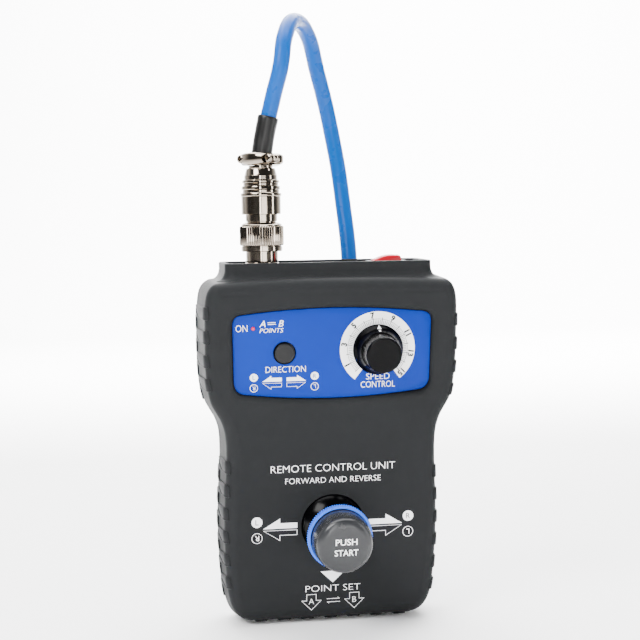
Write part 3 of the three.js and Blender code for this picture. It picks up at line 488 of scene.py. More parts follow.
def front_blank():
    rings = [flat_ring(OUTLINE, 0, -GAP / 2)]
    rings += [front_ring(OUTLINE, DRAFT + EDGE * (1 - cos(a)), EDGE * (1 - sin(a))) for a in EDGE_STEPS]
    return skin("front_blank", rings, SHIFTED)


def rear_blank():
    rings = [flat_ring(OUTLINE, 0, GAP / 2)]
    rings += [flat_ring(OUTLINE, REAR_DRAFT + EDGE * (1 - cos(a)), REAR_DEPTH - EDGE * (1 - sin(a)))
              for a in EDGE_STEPS]
    return skin("rear_blank", rings, SHIFTED)


def front_hollow():
    steps = [(DRAFT, EDGE + 1), (DRAFT + 1.2, WALL + 1.4), (DRAFT + 3.8, WALL)]
    rings = [flat_ring(ROUGH_OUTLINE, WALL, 1)]
    rings += [front_ring(ROUGH_OUTLINE, WALL + inwards, behind) for inwards, behind in steps]
    return skin("front_hollow", rings, SHIFTED)


def rear_hollow():
    steps = [(0, -1), (0.7, REAR_DEPTH - EDGE - 1), (2, REAR_DEPTH - WALL - 1.4), (4.5, REAR_DEPTH - WALL)]
    rings = [flat_ring(ROUGH_OUTLINE, WALL + inwards, y) for inwards, y in steps]
    return skin("rear_hollow", rings, SHIFTED)


# ---- collar
def collar_ring(grow, z, steps=8):
    """Rounded rectangle of the collar at a height, grown sideways, but hardly towards the back."""
    half, radius = COLLAR["half"] + grow, max(0.6, COLLAR["corner"] + grow)
    rear = COLLAR["rear"] + (0.25 * grow if grow > 0 else grow)
    front = COLLAR["front"] - grow
    corners = [(half - radius, rear - radius, 0), (-half + radius, rear - radius, 90),
               (-half + radius, front + radius, 180), (half - radius, front + radius, 270)]
    ring = []
    for cx, cy, start in corners:
        ring += [(x, y, z) for x, y in arc(cx, cy, radius, start, start + 90, steps)]
    return ring


def collar_blank(keep_front):
    foot = [(3.4, COLLAR["foot"]), (3.4, 144.4)]
    foot += bezier(foot[-1], (1.3, 144.9), (0.2, 146.4), (0, 148.8), 10)
    rim = [(0, HEIGHT - 0.5), (-0.15, HEIGHT - 0.15), (-0.5, HEIGHT)]
    rings = [collar_ring(grow, z) for grow, z in foot + rim]
    mesh = skin("collar", rings, SHIFTED)
    side = ((-60, -GAP / 2 + PARTING, 100), (60, 60 + PARTING, 170))
    if not keep_front:
        side = ((-60, -60 + PARTING, 100), (60, GAP / 2 + PARTING, 170))
    return combined("collar", mesh, cuts=[cuboid(*side)])


def collar_bore():
    inner = -COLLAR["wall"]
    rings = [collar_ring(inner, COLLAR["foot"] - 4), collar_ring(inner, HEIGHT - 0.4),
             collar_ring(inner + 0.4, HEIGHT), collar_ring(inner + 0.4, HEIGHT + 2)]
    return skin("bore", rings, SHIFTED)


def end_panel_blank(clear):
    """Slab of the top end panel, which sits in a groove of the collar."""
    grow = -COLLAR["wall"] + 1.0 + clear
    low, high = END_PANEL_TOP - 2.2 - clear, END_PANEL_TOP + clear
    return skin("slab", [collar_ring(grow, low), collar_ring(grow, high)], SHIFTED)


# ---- panel recess
def bowed(start, control, end, count):
    """Points of a bowed edge or a corner, without its last one."""
    shares = [i / count for i in range(count)]
    return [tuple(start[k] * (1 - t) ** 2 + control[k] * 2 * t * (1 - t) + end[k] * t * t for k in (0, 1))
            for t in shares]


def panel_outline(grow, steps=10):
    """Outline of the blue panel on the control face, as (x, v), grown outwards."""
    p, x, bow = PANEL, PANEL["x"], 2 * PANEL["bow"]
    low, high, r, rl = p["low"] - grow, p["high"] + grow, p["corner"] + grow, p["corner_low"] + grow
    left_low, right_low = x - p["half_low"] - grow, x + p["half_low"] + grow
    left_top, right_top = x - p["half_top"] - grow, x + p["half_top"] + grow
    stops = [((left_low + rl, low), (x, low - bow), 2), ((right_low - rl, low), (right_low, low), 1),
             ((right_low, low + rl), None, 0), ((right_top, high - r), (right_top, high), 1),
             ((right_top - r, high), (x, high + bow), 2), ((left_top + r, high), (left_top, high), 1),
             ((left_top, high - r), None, 0), ((left_low, low + rl), (left_low, low), 1)]
    out = []
    for (start, control, rank), (end, _, _) in zip(stops, stops[1:] + stops[:1]):
        out += bowed(start, control, end, steps * rank) if rank else [start]
    return out


def panel_ring(grow, n):
    return [(x, -n, v) for x, v in panel_outline(grow)]


def recess():
    """Room of the panel, with a rounded lip up to the face."""
    lip = [(0.35, -PANEL["depth"] - PANEL["thick"] - GAP), (0.35, -1.7), (0.5, -1.15), (0.85, -0.6),
           (1.35, -0.22), (1.95, -0.03), (2.5, 0.01), (2.5, 3)]
    return skin("recess", [panel_ring(grow, n) for grow, n in lip], FACE)


def recess_back():
    depth = -(PANEL["depth"] + PANEL["thick"] + GAP)
    return skin("back", [panel_ring(2.9, depth - 2), panel_ring(2.9, -1.5)], FACE)


def ball(radius, place, sides=64, rows=32):
    profile = [(radius * sin(pi * i / rows), -radius * cos(pi * i / rows))
               for i in range(rows + 1)]
    profile[0], profile[-1] = (0, -radius), (0, radius)
    return turned("ball", profile, place, sides)


def hole(x, v, radius, sides=48):
    return rod(radius, -20, 2, face_spot(x, v), sides)


# ---- shells
CASE_SCREWS = [(-38, 24), (38, 24), (-41, 103), (41, 103)]


def back_spot(x, z):
    """Matrix of a spot on the parting plane, whose own +Z points backwards."""
    return SHIFTED @ shift(x, 0, z) @ spin(-pi / 2, "X")


def make_shells():
    grip = ball(STICK["dome"] + STICK["clear"], face_spot(0, STICK["v"], STICK["pivot"]))
    front = combined("front", front_blank(), joins=[collar_blank(True)],
                     cuts=[front_hollow(), collar_bore(), end_panel_blank(GAP)])
    front = combined("front", front, joins=[recess_back()], cuts=[
        recess(), hole(*BUTTON, BUTTON_HOLE), hole(*LED, 1.0), hole(*DIAL, 3.7), grip])
    piece("case_front", front, CASE_GREY, "case_grey", "front_shell", crease=26, weighted=True)

    screw_well = [(0, -1), (1.7, -1), (1.7, 5), (3.2, 5), (3.2, 14.7), (3.5, 15), (3.5, 16), (0, 16)]
    spots = [back_spot(x, z) for x, z in CASE_SCREWS]
    rear = combined("rear", rear_blank(), joins=[collar_blank(False)],
                    cuts=[rear_hollow(), collar_bore(), end_panel_blank(GAP)])
    rear = combined("rear", rear, joins=[rod(4.6, 0.6, 13.5, spot, 32) for spot in spots],
                    cuts=[turned("well", screw_well, spot, 40) for spot in spots])
    piece("case_rear", rear, CASE_GREY, "case_grey", "rear_shell", crease=26, weighted=True)


make_shells()


# ---- grip pads
PAD_ROWS = [99.8 + i * PAD_PITCH for i in range(4)] + [16.3 + i * PAD_PITCH for i in range(6)]
BASE_PAD_ROWS = [(i - 3) * PAD_PITCH for i in range(7)]
# Degrees of the rounded edge that the pads cover.
PAD_WRAP = {"base": 20, "front": 46, "rear": 40}


class Wall:
    """The case's side wall and its rounded edge, unrolled: along is the distance along the outline from the
    middle of the base, across the distance from the parting plane, positive to the front."""

    def __init__(self):
        self.points = half_outline(16)
        self.lengths = [0.0]
        for a, b in zip(self.points, self.points[1:]):
            self.lengths.append(self.lengths[-1] + dist(a, b))

    def at(self, along):
        """Point and outward normal of the outline."""
        sign = 1 if along >= 0 else -1
        along = abs(along)
        i = max(k for k, length in enumerate(self.lengths[:-1]) if length <= along)
        a, b = Vector(self.points[i]), Vector(self.points[i + 1])
        share = (along - self.lengths[i]) / (self.lengths[i + 1] - self.lengths[i])
        spot, run = a.lerp(b, share), (b - a).normalized()
        return Vector((sign * spot.x, spot.y)), Vector((sign * run.y, -run.x))

    def along_at(self, z):
        """Distance along the outline at a height of the side."""
        for i, (a, b) in enumerate(zip(self.points, self.points[1:])):
            if a[0] > 40 and a[1] <= z <= b[1]:
                return self.lengths[i] + (z - a[1]) / (b[1] - a[1]) * (self.lengths[i + 1] - self.lengths[i])
        raise ValueError("no wall at this height")

    def straight(self, along, front):
        """Depth of the wall before its rounded edge."""
        return -(face_y(self.at(along)[0].y) + EDGE) if front else REAR_DEPTH - EDGE

    def surface(self, along, across, lift):
        front = across >= 0
        sign, depth, draft = (-1, abs(across), DRAFT) if front else (1, abs(across), REAR_DRAFT)
        spot, normal = self.at(along)
        straight = self.straight(along, front)
        angle = max(0.0, (depth - straight) / EDGE)
        inward = draft * min(1.0, depth / straight) + EDGE * (1 - cos(angle))
        y = sign * (min(depth, straight) + EDGE * sin(angle))
        out = Vector((normal.x * cos(angle), sign * sin(angle), normal.y * cos(angle)))
        base = Vector((spot.x - normal.x * inward, y, spot.y - normal.y * inward))
        return base + out * lift


WALL_MAP = Wall()
# Distance from the middle of the base within which a pad is one of the base's.
BASE_REACH = 35
GROOVE = {"slope": 0.48, "half": 0.28, "depth": 0.5, "top": 1.7}


def rounding(end, radius):
    """Share of the full height or width at a distance from a round end."""
    return sqrt(max(0.0, 1 - max(0.0, 1 - end / radius) ** 2))


def pad_points(centre, front, wrap):
    """One half of a pad, as rows of points from the parting plane outwards: the raised skin, whose middle
    columns follow the slanting groove, and the skin buried in the case."""
    half = PAD_LENGTH / 2
    reach = WALL_MAP.straight(centre, front) + EDGE * radians(wrap)
    sign = 1 if front else -1
    spans = [GAP / 2, GAP / 2 + 0.02] + [GAP / 2 + (reach - GAP / 2) * i / 14 for i in range(1, 14)]
    spans += [reach - 0.45, reach - 0.12, reach]
    deepest = GROOVE["depth"] if abs(centre) > BASE_REACH else 0.0
    grid, under = [], []
    for depth in spans:
        fall = GROOVE["top"] - GROOVE["slope"] * depth
        groove = copysign(1, centre) * max(-half + 0.9, fall)
        sunk = deepest * max(0.0, min(1.0, 1 + (fall + half - 0.9) / 0.6))
        end = reach - depth
        height = PAD * rounding(end, 0.7)
        h = half - 1.2 * (1 - rounding(end, 1.6))
        stops = [(-h, 0.0), (-h + 0.12, 0.6), (-h + 0.45, 1.0), (groove - GROOVE["half"] - 0.12, 1.0),
                 (groove - GROOVE["half"], 0.9), (groove, 1 - sunk / PAD), (groove + GROOVE["half"], 0.9),
                 (groove + GROOVE["half"] + 0.12, 1.0), (h - 0.45, 1.0), (h - 0.12, 0.6), (h, 0.0)]
        grid.append([WALL_MAP.surface(centre + t, sign * depth, height * lift) for t, lift in stops])
        under.append([WALL_MAP.surface(centre + t, sign * depth, -0.5) for t, lift in stops])
    return grid, under


def pad_mesh(grid, under):
    """A closed patch between its outer and its buried skin."""
    rows, cols = len(grid), len(grid[0])
    points = [p for row in grid for p in row] + [p for row in under for p in row]
    offset = rows * cols
    faces = []
    for r in range(rows - 1):
        for c in range(cols - 1):
            a = r * cols + c
            b = a + offset
            faces.append((a, a + 1, a + cols + 1, a + cols))
            faces.append((b, b + cols, b + cols + 1, b + 1))
    rim = list(range(cols)) + [r * cols + cols - 1 for r in range(1, rows)]
    rim += [offset - cols + c for c in range(cols - 2, -1, -1)] + [r * cols for r in range(rows - 2, 0, -1)]
    for a, b in zip(rim, rim[1:] + rim[:1]):
        faces.append((b, a, a + offset, b + offset))
    return points, faces


def make_pads():
    for front, name in ((True, "grip_pads_front"), (False, "grip_pads_rear")):
        points, faces = [], []
        stagger = (-1 if front else 1) * PAD_PITCH / 4
        places = [side * WALL_MAP.along_at(z + side * stagger) for z in PAD_ROWS for side in (1, -1)]
        for centre in places + BASE_PAD_ROWS:
            wrap = PAD_WRAP["base" if abs(centre) < BASE_REACH else "front" if front else "rear"]
            more, quads = pad_mesh(*pad_points(centre, front, wrap))
            faces += [tuple(i + len(points) for i in quad) for quad in quads]
            points += more
        solid(name, mesh_from(name, points, faces, SHIFTED), CASE_GREY, "case_grey", crease=40)


make_pads()


# ---- top end: panel and power switch
ROCKER = {"x": 27.6, "half": 6.2, "depth": 8.0, "tilt": radians(9), "drop": 1.2}


def make_end_panel():
    top = END_PANEL_TOP
    socket_hole = rod(7.1, top - 9, top + 4, SHIFTED @ shift(SOCKET_X, 0, 0), 64)
    x, half = ROCKER["x"], 7.1
    switch_hole = cuboid((x - half, -5.1, top - 9), (x + half, 5.1, top + 4), SHIFTED)
    mesh = combined("panel", end_panel_blank(0), cuts=[socket_hole, switch_hole])
    piece("end_panel", mesh, BLACK, "black_plastic", "top_end_panel", bevel=(0.25, 2))


def make_switch_body():
    top, x = END_PANEL_TOP, ROCKER["x"]

    def slab(half, depth, low, high, middle=x):
        return cuboid((middle - half, -depth, top + low), (middle + half, depth, top + high), SHIFTED)
    mesh = combined("switch", slab(8.2, 6.2, GAP, 1.8), joins=[slab(6.9, 4.9, -14, 1)],
                    cuts=[slab(6.6, 4.25, -8, 5)])
    mesh = combined("switch", mesh, joins=[slab(0.4, 2, -20, -13, x + d) for d in (-4.2, 0, 4.2)])
    piece("power_switch_bezel", mesh, BLACK, "black_plastic", "power_switch_body", bevel=(0.45, 4))


def make_rocker():
    """The rocker's cap, with a crowned top, tilted to the off side."""
    h, depth = ROCKER["half"] - 0.25, ROCKER["depth"] / 2 - 0.2
    crest = [(h, 3.4)] + bezier((h, 3.4), (h, 4.2), (h - 0.6, 4.6), (h - 1.5, 4.6), 8)
    right = crest + bezier(crest[-1], (h * 0.45, 5.1), (h * 0.2, 5.3), (0, 5.3), 10)
    outline = [(-h + 1.2, -3.2), (h - 1.2, -3.2)] + right + [(-px, pz) for px, pz in reversed(right[:-1])]
    rings = []
    for across, shrink in ((-depth, 0.6), (-depth + 0.2, 0.22), (-depth + 0.7, 0), (0, -0.25),
                           (depth - 0.7, 0), (depth - 0.2, 0.22), (depth, 0.6)):
        rings.append([(px, across, pz - (shrink if pz > 2 else 0)) for px, pz in outline])
    place = SHIFTED @ shift(ROCKER["x"], 0, END_PANEL_TOP - ROCKER["drop"]) @ spin(-ROCKER["tilt"], "Y")
    mesh = skin("rocker", rings, place)
    piece("power_rocker_cap", mesh, SIGNAL_RED, "signal_red", "power_rocker", "power_rocker", crease=40)


make_end_panel()
make_switch_body()
make_rocker()


# ---- connector
JAW = {"half": 10.2, "reach": 6.6, "screw": 7.0, "low": 32.7, "high": 37.8, "seat": 3.4, "bore": 5.4}


def ribbed(radius, depth, ribs, heights, sides_per_rib=6):
    """Rings of a ribbed band: heights are (height, radius offset, share of the rib depth)."""
    rings = []
    for height, offset, share in heights:
        ring = []
        for i in range(ribs * sides_per_rib):
            angle = 2 * pi * i / (ribs * sides_per_rib)
            wave = 0.5 - 0.5 * cos(2 * pi * i / sides_per_rib)
            r = radius + offset - depth * share * wave ** 0.7
            ring.append((r * cos(angle), r * sin(angle), height))
        rings.append(ring)
    return rings


def nut_mesh(place):
    """Coupling nut: a collar with a finely ribbed band and a bore."""
    outside = [(0, 0), (8.3, 0), (8.55, 0.25), (8.55, 1.9), (8.2, 2.1), (8.2, 10.6), (8.5, 10.7), (8.5, 11),
               (8.3, 11.25), (6.9, 12), (0, 12)]
    collar = turned("collar", outside, place, 96)
    ribs = [(2.4, -0.6, 0), (2.4, -0.35, 0.3), (2.65, -0.08, 1), (3.0, 0, 1), (10.0, 0, 1), (10.3, -0.1, 1),
            (10.5, -0.4, 0.3), (10.5, -0.6, 0)]
    band = skin("band", ribbed(NUT_R, 0.32, 60, ribs), place)
    bore = turned("bore", [(0, -1), (7.1, -1), (7.1, 6.6), (6.4, 6.8), (6.4, 13), (0, 13)], place, 96)
    return combined("nut", collar, joins=[band], cuts=[bore])


def jaw_mesh(sign, low, place):
    """Clamp jaw: a rounded bar with ears, a half bore and two screw holes."""
    half, reach = JAW["half"], JAW["reach"]
    side = bezier((half, sign * 2.2), (half - 2, sign * 4.2), (5.2, sign * reach), (0, sign * reach), 12)
    outline = [(half, sign * 0.4), (half, sign * 1.4), (half - 0.15, sign * 1.9)] + side
    outline += [(-x, y) for x, y in reversed(outline[:-1])]
    middle = (JAW["low"] + JAW["high"]) / 2
    rings = []
    for z, shrink in ((low, 0.9), (low + 0.3, 0.35), (low + 0.9, 0.0), (JAW["high"] - 0.9, 0.0),
                      (JAW["high"] - 0.3, 0.35), (JAW["high"], 0.9)):
        ring = []
        for x, y in outline:
            inwards = 0 if abs(y) < 0.5 else sign * shrink * min(1, abs(y) / 2.5)
            taper = 0.9 * (x / half) ** 2 * (1 if z < middle else -1)
            ring.append((x * (1 - shrink / half), y - inwards, z + taper))
        rings.append(ring)
    seat = JAW["seat"]
    stepped = [(0, -9), (1.15, -9), (1.15, seat), (2.1, seat), (2.1, 9), (0, 9)]
    spots = [place @ shift(ear * JAW["screw"], 0, middle) @ spin(pi / 2, "X") for ear in (-1, 1)]
    holes = [turned("hole", stepped, spot, 32) for spot in spots]
    start = JAW["low"] + (0.4 if sign > 0 else -4)
    bore = rod(JAW["bore"], start, 45, place)
    return combined("jaw", skin("jaw", rings, place), cuts=holes + [bore])


def plug_mesh(place):
    profile = [(0, 2.2), (5.2, 2.2), (5.4, 2.4), (5.4, 5.4), (6.0, 5.4), (6.05, 5.5), (6.05, 9.3),
               (6.45, 9.35), (6.6, 9.5), (6.6, 12.2), (8.0, 12.2), (8.2, 12.4), (8.2, 19.6), (8.45, 19.8),
               (8.5, 20.0), (8.5, 20.7), (8.4, 20.95), (7.85, 21.1), (7.7, 21.3), (7.7, 22.3), (7.9, 22.5),
               (8.05, 22.75), (8.05, 23.6), (7.95, 23.85), (7.45, 24.0), (7.3, 24.25), (7.3, 25.0),
               (7.55, 25.2), (7.75, 25.45), (7.75, 26.1), (7.6, 26.35), (7.05, 26.5), (6.9, 26.75),
               (6.9, 28.3), (6.75, 28.5), (6.1, 31.0), (5.9, 31.25), (5.1, 31.3), (5.0, 31.4), (5.0, 32.4),
               (0, 32.4)]
    body = turned("plug", profile, place, 96)
    throat = rod(CORD_R + 0.75, 30.4, 34, place)
    return combined("plug", body, joins=[jaw_mesh(1, JAW["low"] - 0.9, place)], cuts=[throat])


def screw_mesh(head, height, shank, length, place):
    """Pan head screw with a cross recess, its head upwards."""
    profile = [(0, -length), (shank * 0.6, -length), (shank, -length + 0.5), (shank, 0), (head * 0.96, 0),
               (head, 0.08), (head, height * 0.45), (head * 0.93, height * 0.72),
               (head * 0.76, height * 0.92), (head * 0.5, height), (0, height)]
    body = turned("screw", profile, place, 48)
    arm, half = head * 0.55, head * 0.12
    arms = ((arm, half), (half, arm))
    cuts = [cuboid((-x, -y, height * 0.4), (x, y, height + 1), place) for x, y in arms]
    return combined("screw", body, cuts=cuts)


def sleeve_mesh(lean, place):
    """Heat-shrink sleeve: a thin tube drawn tight, with faint wrinkles, that leans towards its top."""
    length, sides = 17.6, 48
    rings = []
    rows = [(0.0, -0.35), (0.01, -0.1), (0.03, 0.0)] + [(0.03 + 0.94 * i / 18, 0.0) for i in range(1, 19)]
    rows += [(0.985, -0.06), (1.0, -0.22), (1.0, -0.9), (0.97, -0.98)]
    for share, offset in rows:
        left = 1 - share
        x = lean * (0.06 * left * left + 0.84 * share * left + share * share)
        z = share * length
        tilt = atan2(lean * (0.84 + 0.32 * share - 0.12 * left), length)
        ring = []
        for i in range(sides):
            angle = 2 * pi * i / sides
            wrinkle = 0.05 * sin(3 * angle + 9 * share) * sin(pi * share)
            waist = 0.12 * sin(pi * share)
            r = CORD_R + 0.9 + offset - waist + wrinkle
            dx, dy = r * cos(angle), r * sin(angle)
            ring.append((x + dx * cos(tilt), dy, z - dx * sin(tilt)))
        rings.append(ring)
    return skin("sleeve", rings, place)


def make_plug(prefix, place, sleeve_place, lean):
    """One plug: shell with its jaw, coupling nut, loose jaw, two screws and the sleeve."""
    def part(name, mesh, node, crease, body="case"):
        piece(prefix + name, mesh, NICKEL, "nickel", prefix + node, body, crease=crease)
    part("plug_body", plug_mesh(place), "plug_shell", 24)
    nut = nut_mesh(place @ shift(0, 0, -3.1))
    part("plug_nut", nut, "coupling_nut", 24, prefix + "coupling_nut")
    part("plug_jaw", jaw_mesh(-1, JAW["low"], place), "clamp_jaw", 36)
    middle = (JAW["low"] + JAW["high"]) / 2
    for i, side in enumerate((-1, 1)):
        spot = place @ shift(side * JAW["screw"], -(JAW["seat"] + GAP), middle)
        mesh = screw_mesh(1.8, 1.3, 0.9, 7.4, spot @ spin(pi / 2, "X"))
        part(f"jaw_screw_{i + 1}", mesh, f"clamp_screw_{i + 1}", 30)
    piece(prefix + "sleeve", sleeve_mesh(lean, sleeve_place), HEAT_SHRINK, "heat_shrink",
          prefix + "heat_shrink_sleeve", crease=50)


def make_connector():
    top = END_PANEL_TOP
    axis = SHIFTED @ shift(SOCKET_X, 0, 0)
    profile = [(0, top - 14), (6.2, top - 14), (6.2, top - 8), (6.8, top - 8), (6.8, top + GAP),
               (8.0, top + GAP), (8.2, top + 0.5), (8.2, top + 1.2), (7.9, top + 1.5), (7.1, top + 1.6),
               (6.9, top + 1.8), (6.7, top + 2.1), (6.7, top + 7.9), (6.2, top + 8.5), (0, top + 8.5)]
    piece("socket", turned("socket", profile, axis, 96), NICKEL, "nickel", "socket_body", crease=28)
    place = axis @ shift(0, 0, PLUG_LIFT) @ spin(-CLAMP_TURN, "Z")
    make_plug("", place, axis @ shift(0, 0, PLUG_LIFT + 35.0), 3.6)
    far = box_mm("far_coupling_nut")
    centre = (far[0] + far[1]) / 2
    lying = shift(60.6, centre.y, centre.z) @ spin(-pi / 2, "Y")
    lying = lying @ spin(radians(65), "Z")
    make_plug("far_", lying, lying @ shift(0, 0, 35.0), 0)


make_connector()


# ---- printing
INK = 0.05


def flat_shape(loops):
    """Points and faces of a thin plate with these closed outlines; an outline inside another is a hole."""
    curve = bpy.data.curves.new("ink", "CURVE")
    curve.dimensions = "2D"
    curve.fill_mode = "BOTH"
    curve.extrude = INK / 2
    for loop in loops:
        spline = curve.splines.new("POLY")
        spline.points.add(len(loop) - 1)
        spline.use_cyclic_u = True
        for point, (x, y) in zip(spline.points, loop):
            point.co = (x, y, 0, 1)
    return plate_of(curve)


def plate_of(curve):
    obj = placed("ink", curve)
    bpy.context.view_layer.update()
    mesh = bpy.data.meshes.new_from_object(obj.evaluated_get(bpy.context.evaluated_depsgraph_get()))
    points = [tuple(v.co) for v in mesh.vertices]
    faces = [tuple(p.vertices) for p in mesh.polygons]
    bpy.data.objects.remove(obj)
    bpy.data.meshes.remove(mesh)
    return points, faces


def words(text, height, centre, width=None, bold=0.0, slant=0.0, turn=0.0):
    """Generic lettering as a thin plate, of that capital height and width, centred on a point."""
    curve = bpy.data.curves.new("ink", "FONT")
    curve.body = text
    curve.resolution_u = 3
    curve.shear = slant
    curve.offset = bold
    curve.extrude = INK / 2
    points, faces = plate_of(curve)
    low = [min(p[k] for p in points) for k in (0, 1)]
    high = [max(p[k] for p in points) for k in (0, 1)]
    grow = height / (high[1] - low[1])
    stretch = width / (high[0] - low[0]) if width else grow
    c, s = cos(turn), sin(turn)
    out = []
    for x, y, z in points:
        x, y = (x - (low[0] + high[0]) / 2) * stretch, (y - (low[1] + high[1]) / 2) * grow
        out.append((centre[0] + x * c + y * s, centre[1] - x * s + y * c, z))
    return out, faces


def printed(name, plates, look, slot, lift, body="case"):
    """Thin plates on the control face, with their backs at that distance out of it."""
    points, faces = [], []
    for more, polygons in plates:
        faces += [tuple(i + len(points) for i in polygon) for polygon in polygons]
        points += [(x, -(lift + INK / 2 + z), v) for x, v, z in more]
    return solid(name, mesh_from(name, points, faces, FACE), look, slot, body)


def disc(x, v, radius, steps=40):
    return arc(x, v, radius, 0, 360 - 360 / steps, steps - 1)


def polar(radius, degrees, centre=(0, 0)):
    """A point at an angle clockwise from the top."""
    angle = radians(degrees)
    return (centre[0] + radius * sin(angle), centre[1] + radius * cos(angle))


def sector(inner, outer, start, end, centre, steps=60):
    angles = [start + (end - start) * i / steps for i in range(steps + 1)]
    return [polar(inner, a, centre) for a in angles] + [polar(outer, a, centre) for a in reversed(angles)]


def anticlockwise(loop):
    area = sum(a[0] * b[1] - b[0] * a[1] for a, b in zip(loop, loop[1:] + loop[:1]))
    return loop if area > 0 else loop[::-1]


def outlined(loop, line):
    """An outline of a shape, as two loops."""
    loop = anticlockwise(loop)
    return [loop, inset(loop, line)]


def half_arrow(tip, barb, shaft, end):
    """Half of an arrow, its straight side through the tip. shaft is the shaft's v, end the x of its end."""
    return [tip, barb, (barb[0], shaft), (end, shaft), (end, tip[1])]


def mirrored(loop, x):
    return [(2 * x - px, pv) for px, pv in loop]


def arrow_pairs(upper, lower, axis, line):
    """A solid half arrow over an open one, and both mirrored about an upright axis."""
    plates = []
    for flip in (False, True):
        for loop, is_open in ((upper, False), (lower, True)):
            loop = mirrored(loop, axis) if flip else loop
            plates.append(flat_shape(outlined(loop, line) if is_open else [loop]))
    return plates


def exchange(x, v, half, rise, line):
    """Two opposed half-barbed arrows, one above the other."""
    tip, low, high = x + half, v + rise, v + rise + line
    upper = [(x - half, low), (tip, low), (tip - rise * 1.4, v + rise * 2.2),
             (tip - rise * 1.7, v + rise * 2.0), (tip - rise * 0.7, high), (x - half, high)]
    return [flat_shape([loop]) for loop in (upper, [(2 * x - px, 2 * v - pv) for px, pv in upper])]


# ---- control panel
SCALE_UNIT = 18.0
FACE_OF_PANEL = -PANEL["depth"]


def make_panel():
    low = -(PANEL["depth"] + PANEL["thick"])
    edge = [(0.0, low), (0.0, FACE_OF_PANEL - 0.2), (-0.06, FACE_OF_PANEL - 0.06), (-0.2, FACE_OF_PANEL)]
    plate = skin("plate", [panel_ring(grow, n) for grow, n in edge], FACE)
    holes = [hole(*BUTTON, BUTTON_HOLE, 64), hole(*LED, 0.9), hole(*DIAL, 3.7)]
    plate = combined("plate", plate, cuts=holes)
    piece("panel_plate", plate, PANEL_BLUE, "panel_blue", "panel_overlay", crease=30)


def dial_prints():
    """White scale round the knob, and its black arc, ticks and numbers."""
    band = [flat_shape([sector(9.0, 15.65, -143, 143, DIAL)])]
    ticks = [flat_shape([sector(12.4, 12.54, -136, 136, DIAL)])]
    for unit in range(16):
        angle = (unit - 7.5) * SCALE_UNIT
        half = degrees(0.13 / 12)
        ticks.append(flat_shape([sector(10.6, 13.1, angle - half, angle + half, DIAL, 1)]))
        for step in range(1, 5):
            fine = angle + step * SCALE_UNIT / 5
            if unit < 15:
                ticks.append(flat_shape([sector(10.6, 12.0, fine - half * 0.7, fine + half * 0.7, DIAL, 1)]))
        if unit % 2:
            ticks.append(words(str(unit), 2.5, polar(14.1, angle, DIAL), turn=radians(angle), bold=0.04))
    printed("dial_band", band, PRINT_WHITE, "panel_blue", FACE_OF_PANEL)
    printed("dial_numbers", ticks, PRINT_BLACK, "black_plastic", FACE_OF_PANEL + INK)


def lettered_circles(left, right, upper, lower, radius, line):
    """Solid circles above and open ones below, at both sides."""
    plates = [flat_shape([disc(x, upper, radius)]) for x in (left, right)]
    plates += [flat_shape([disc(x, lower, radius), disc(x, lower, radius - line)]) for x in (left, right)]
    return plates


def panel_prints():
    white = [words("ON", 2.8, (-37.5, 126.0), width=4.8, bold=-0.014),
             words("A", 2.6, (-29.0, 127.7), slant=0.25), words("B", 2.6, (-21.4, 127.7), slant=0.25),
             words("POINTS", 1.8, (-25.3, 124.9), width=9.8, bold=-0.012, slant=0.25),
             words("DIRECTION", 2.5, (-19.5, 108.7), width=16.5, bold=-0.012),
             words("SPEED", 2.5, (18.8, 104.6), width=9.8, bold=-0.012),
             words("CONTROL", 2.6, (18.8, 101.3), width=14.3, bold=-0.012)]
    white += exchange(-25.2, 127.8, 1.7, 0.25, 0.22)
    solid_arrow = half_arrow((-29.15, 103.7), (-25.45, 106.2), 105.3, -21.15)
    open_arrow = half_arrow((-29.15, 103.1), (-25.45, 100.5), 101.4, -21.15)
    white += arrow_pairs(solid_arrow, open_arrow, -20.15, 0.14)
    white += lettered_circles(-32.6, -7.55, 105.6, 101.2, 1.65, 0.2)
    for x, letter in ((-32.6, "R"), (-7.55, "L")):
        white.append(words(letter, 1.5, (x, 101.2), turn=pi, bold=-0.01))
    printed("panel_legend", white, PRINT_WHITE, "panel_blue", FACE_OF_PANEL)
    blue = [words("L", 1.7, (-32.6, 105.6)), words("R", 1.7, (-7.55, 105.6))]
    printed("panel_legend_letters", blue, PANEL_BLUE, "panel_blue", FACE_OF_PANEL + INK)


def make_small_controls():
    profile = [(0, -12.9), (1.6, -12.9), (1.6, -5.6), (0.75, -5.4), (0.75, -2.0), (0.68, -1.8), (0.5, -1.66),
               (0.25, -1.6), (0, -1.58)]
    piece("led", turned("led", profile, face_spot(*LED), 32), LED_RED, "led_red", "status_led")
    profile = [(0, -8.2), (1.5, -8.2), (1.5, -6.6), (5.6, -6.6), (5.6, -5.5), (4.15, -5.5), (4.15, -1.35),
               (4.05, -1.05), (3.8, -0.87), (3.4, -0.8), (1.5, -0.78), (0, -0.78)]
    button = turned("button", profile, face_spot(*BUTTON), 80)
    piece("direction_cap", button, BUTTON_GREY, "dark_grey_cap", "direction_button", "direction_button")


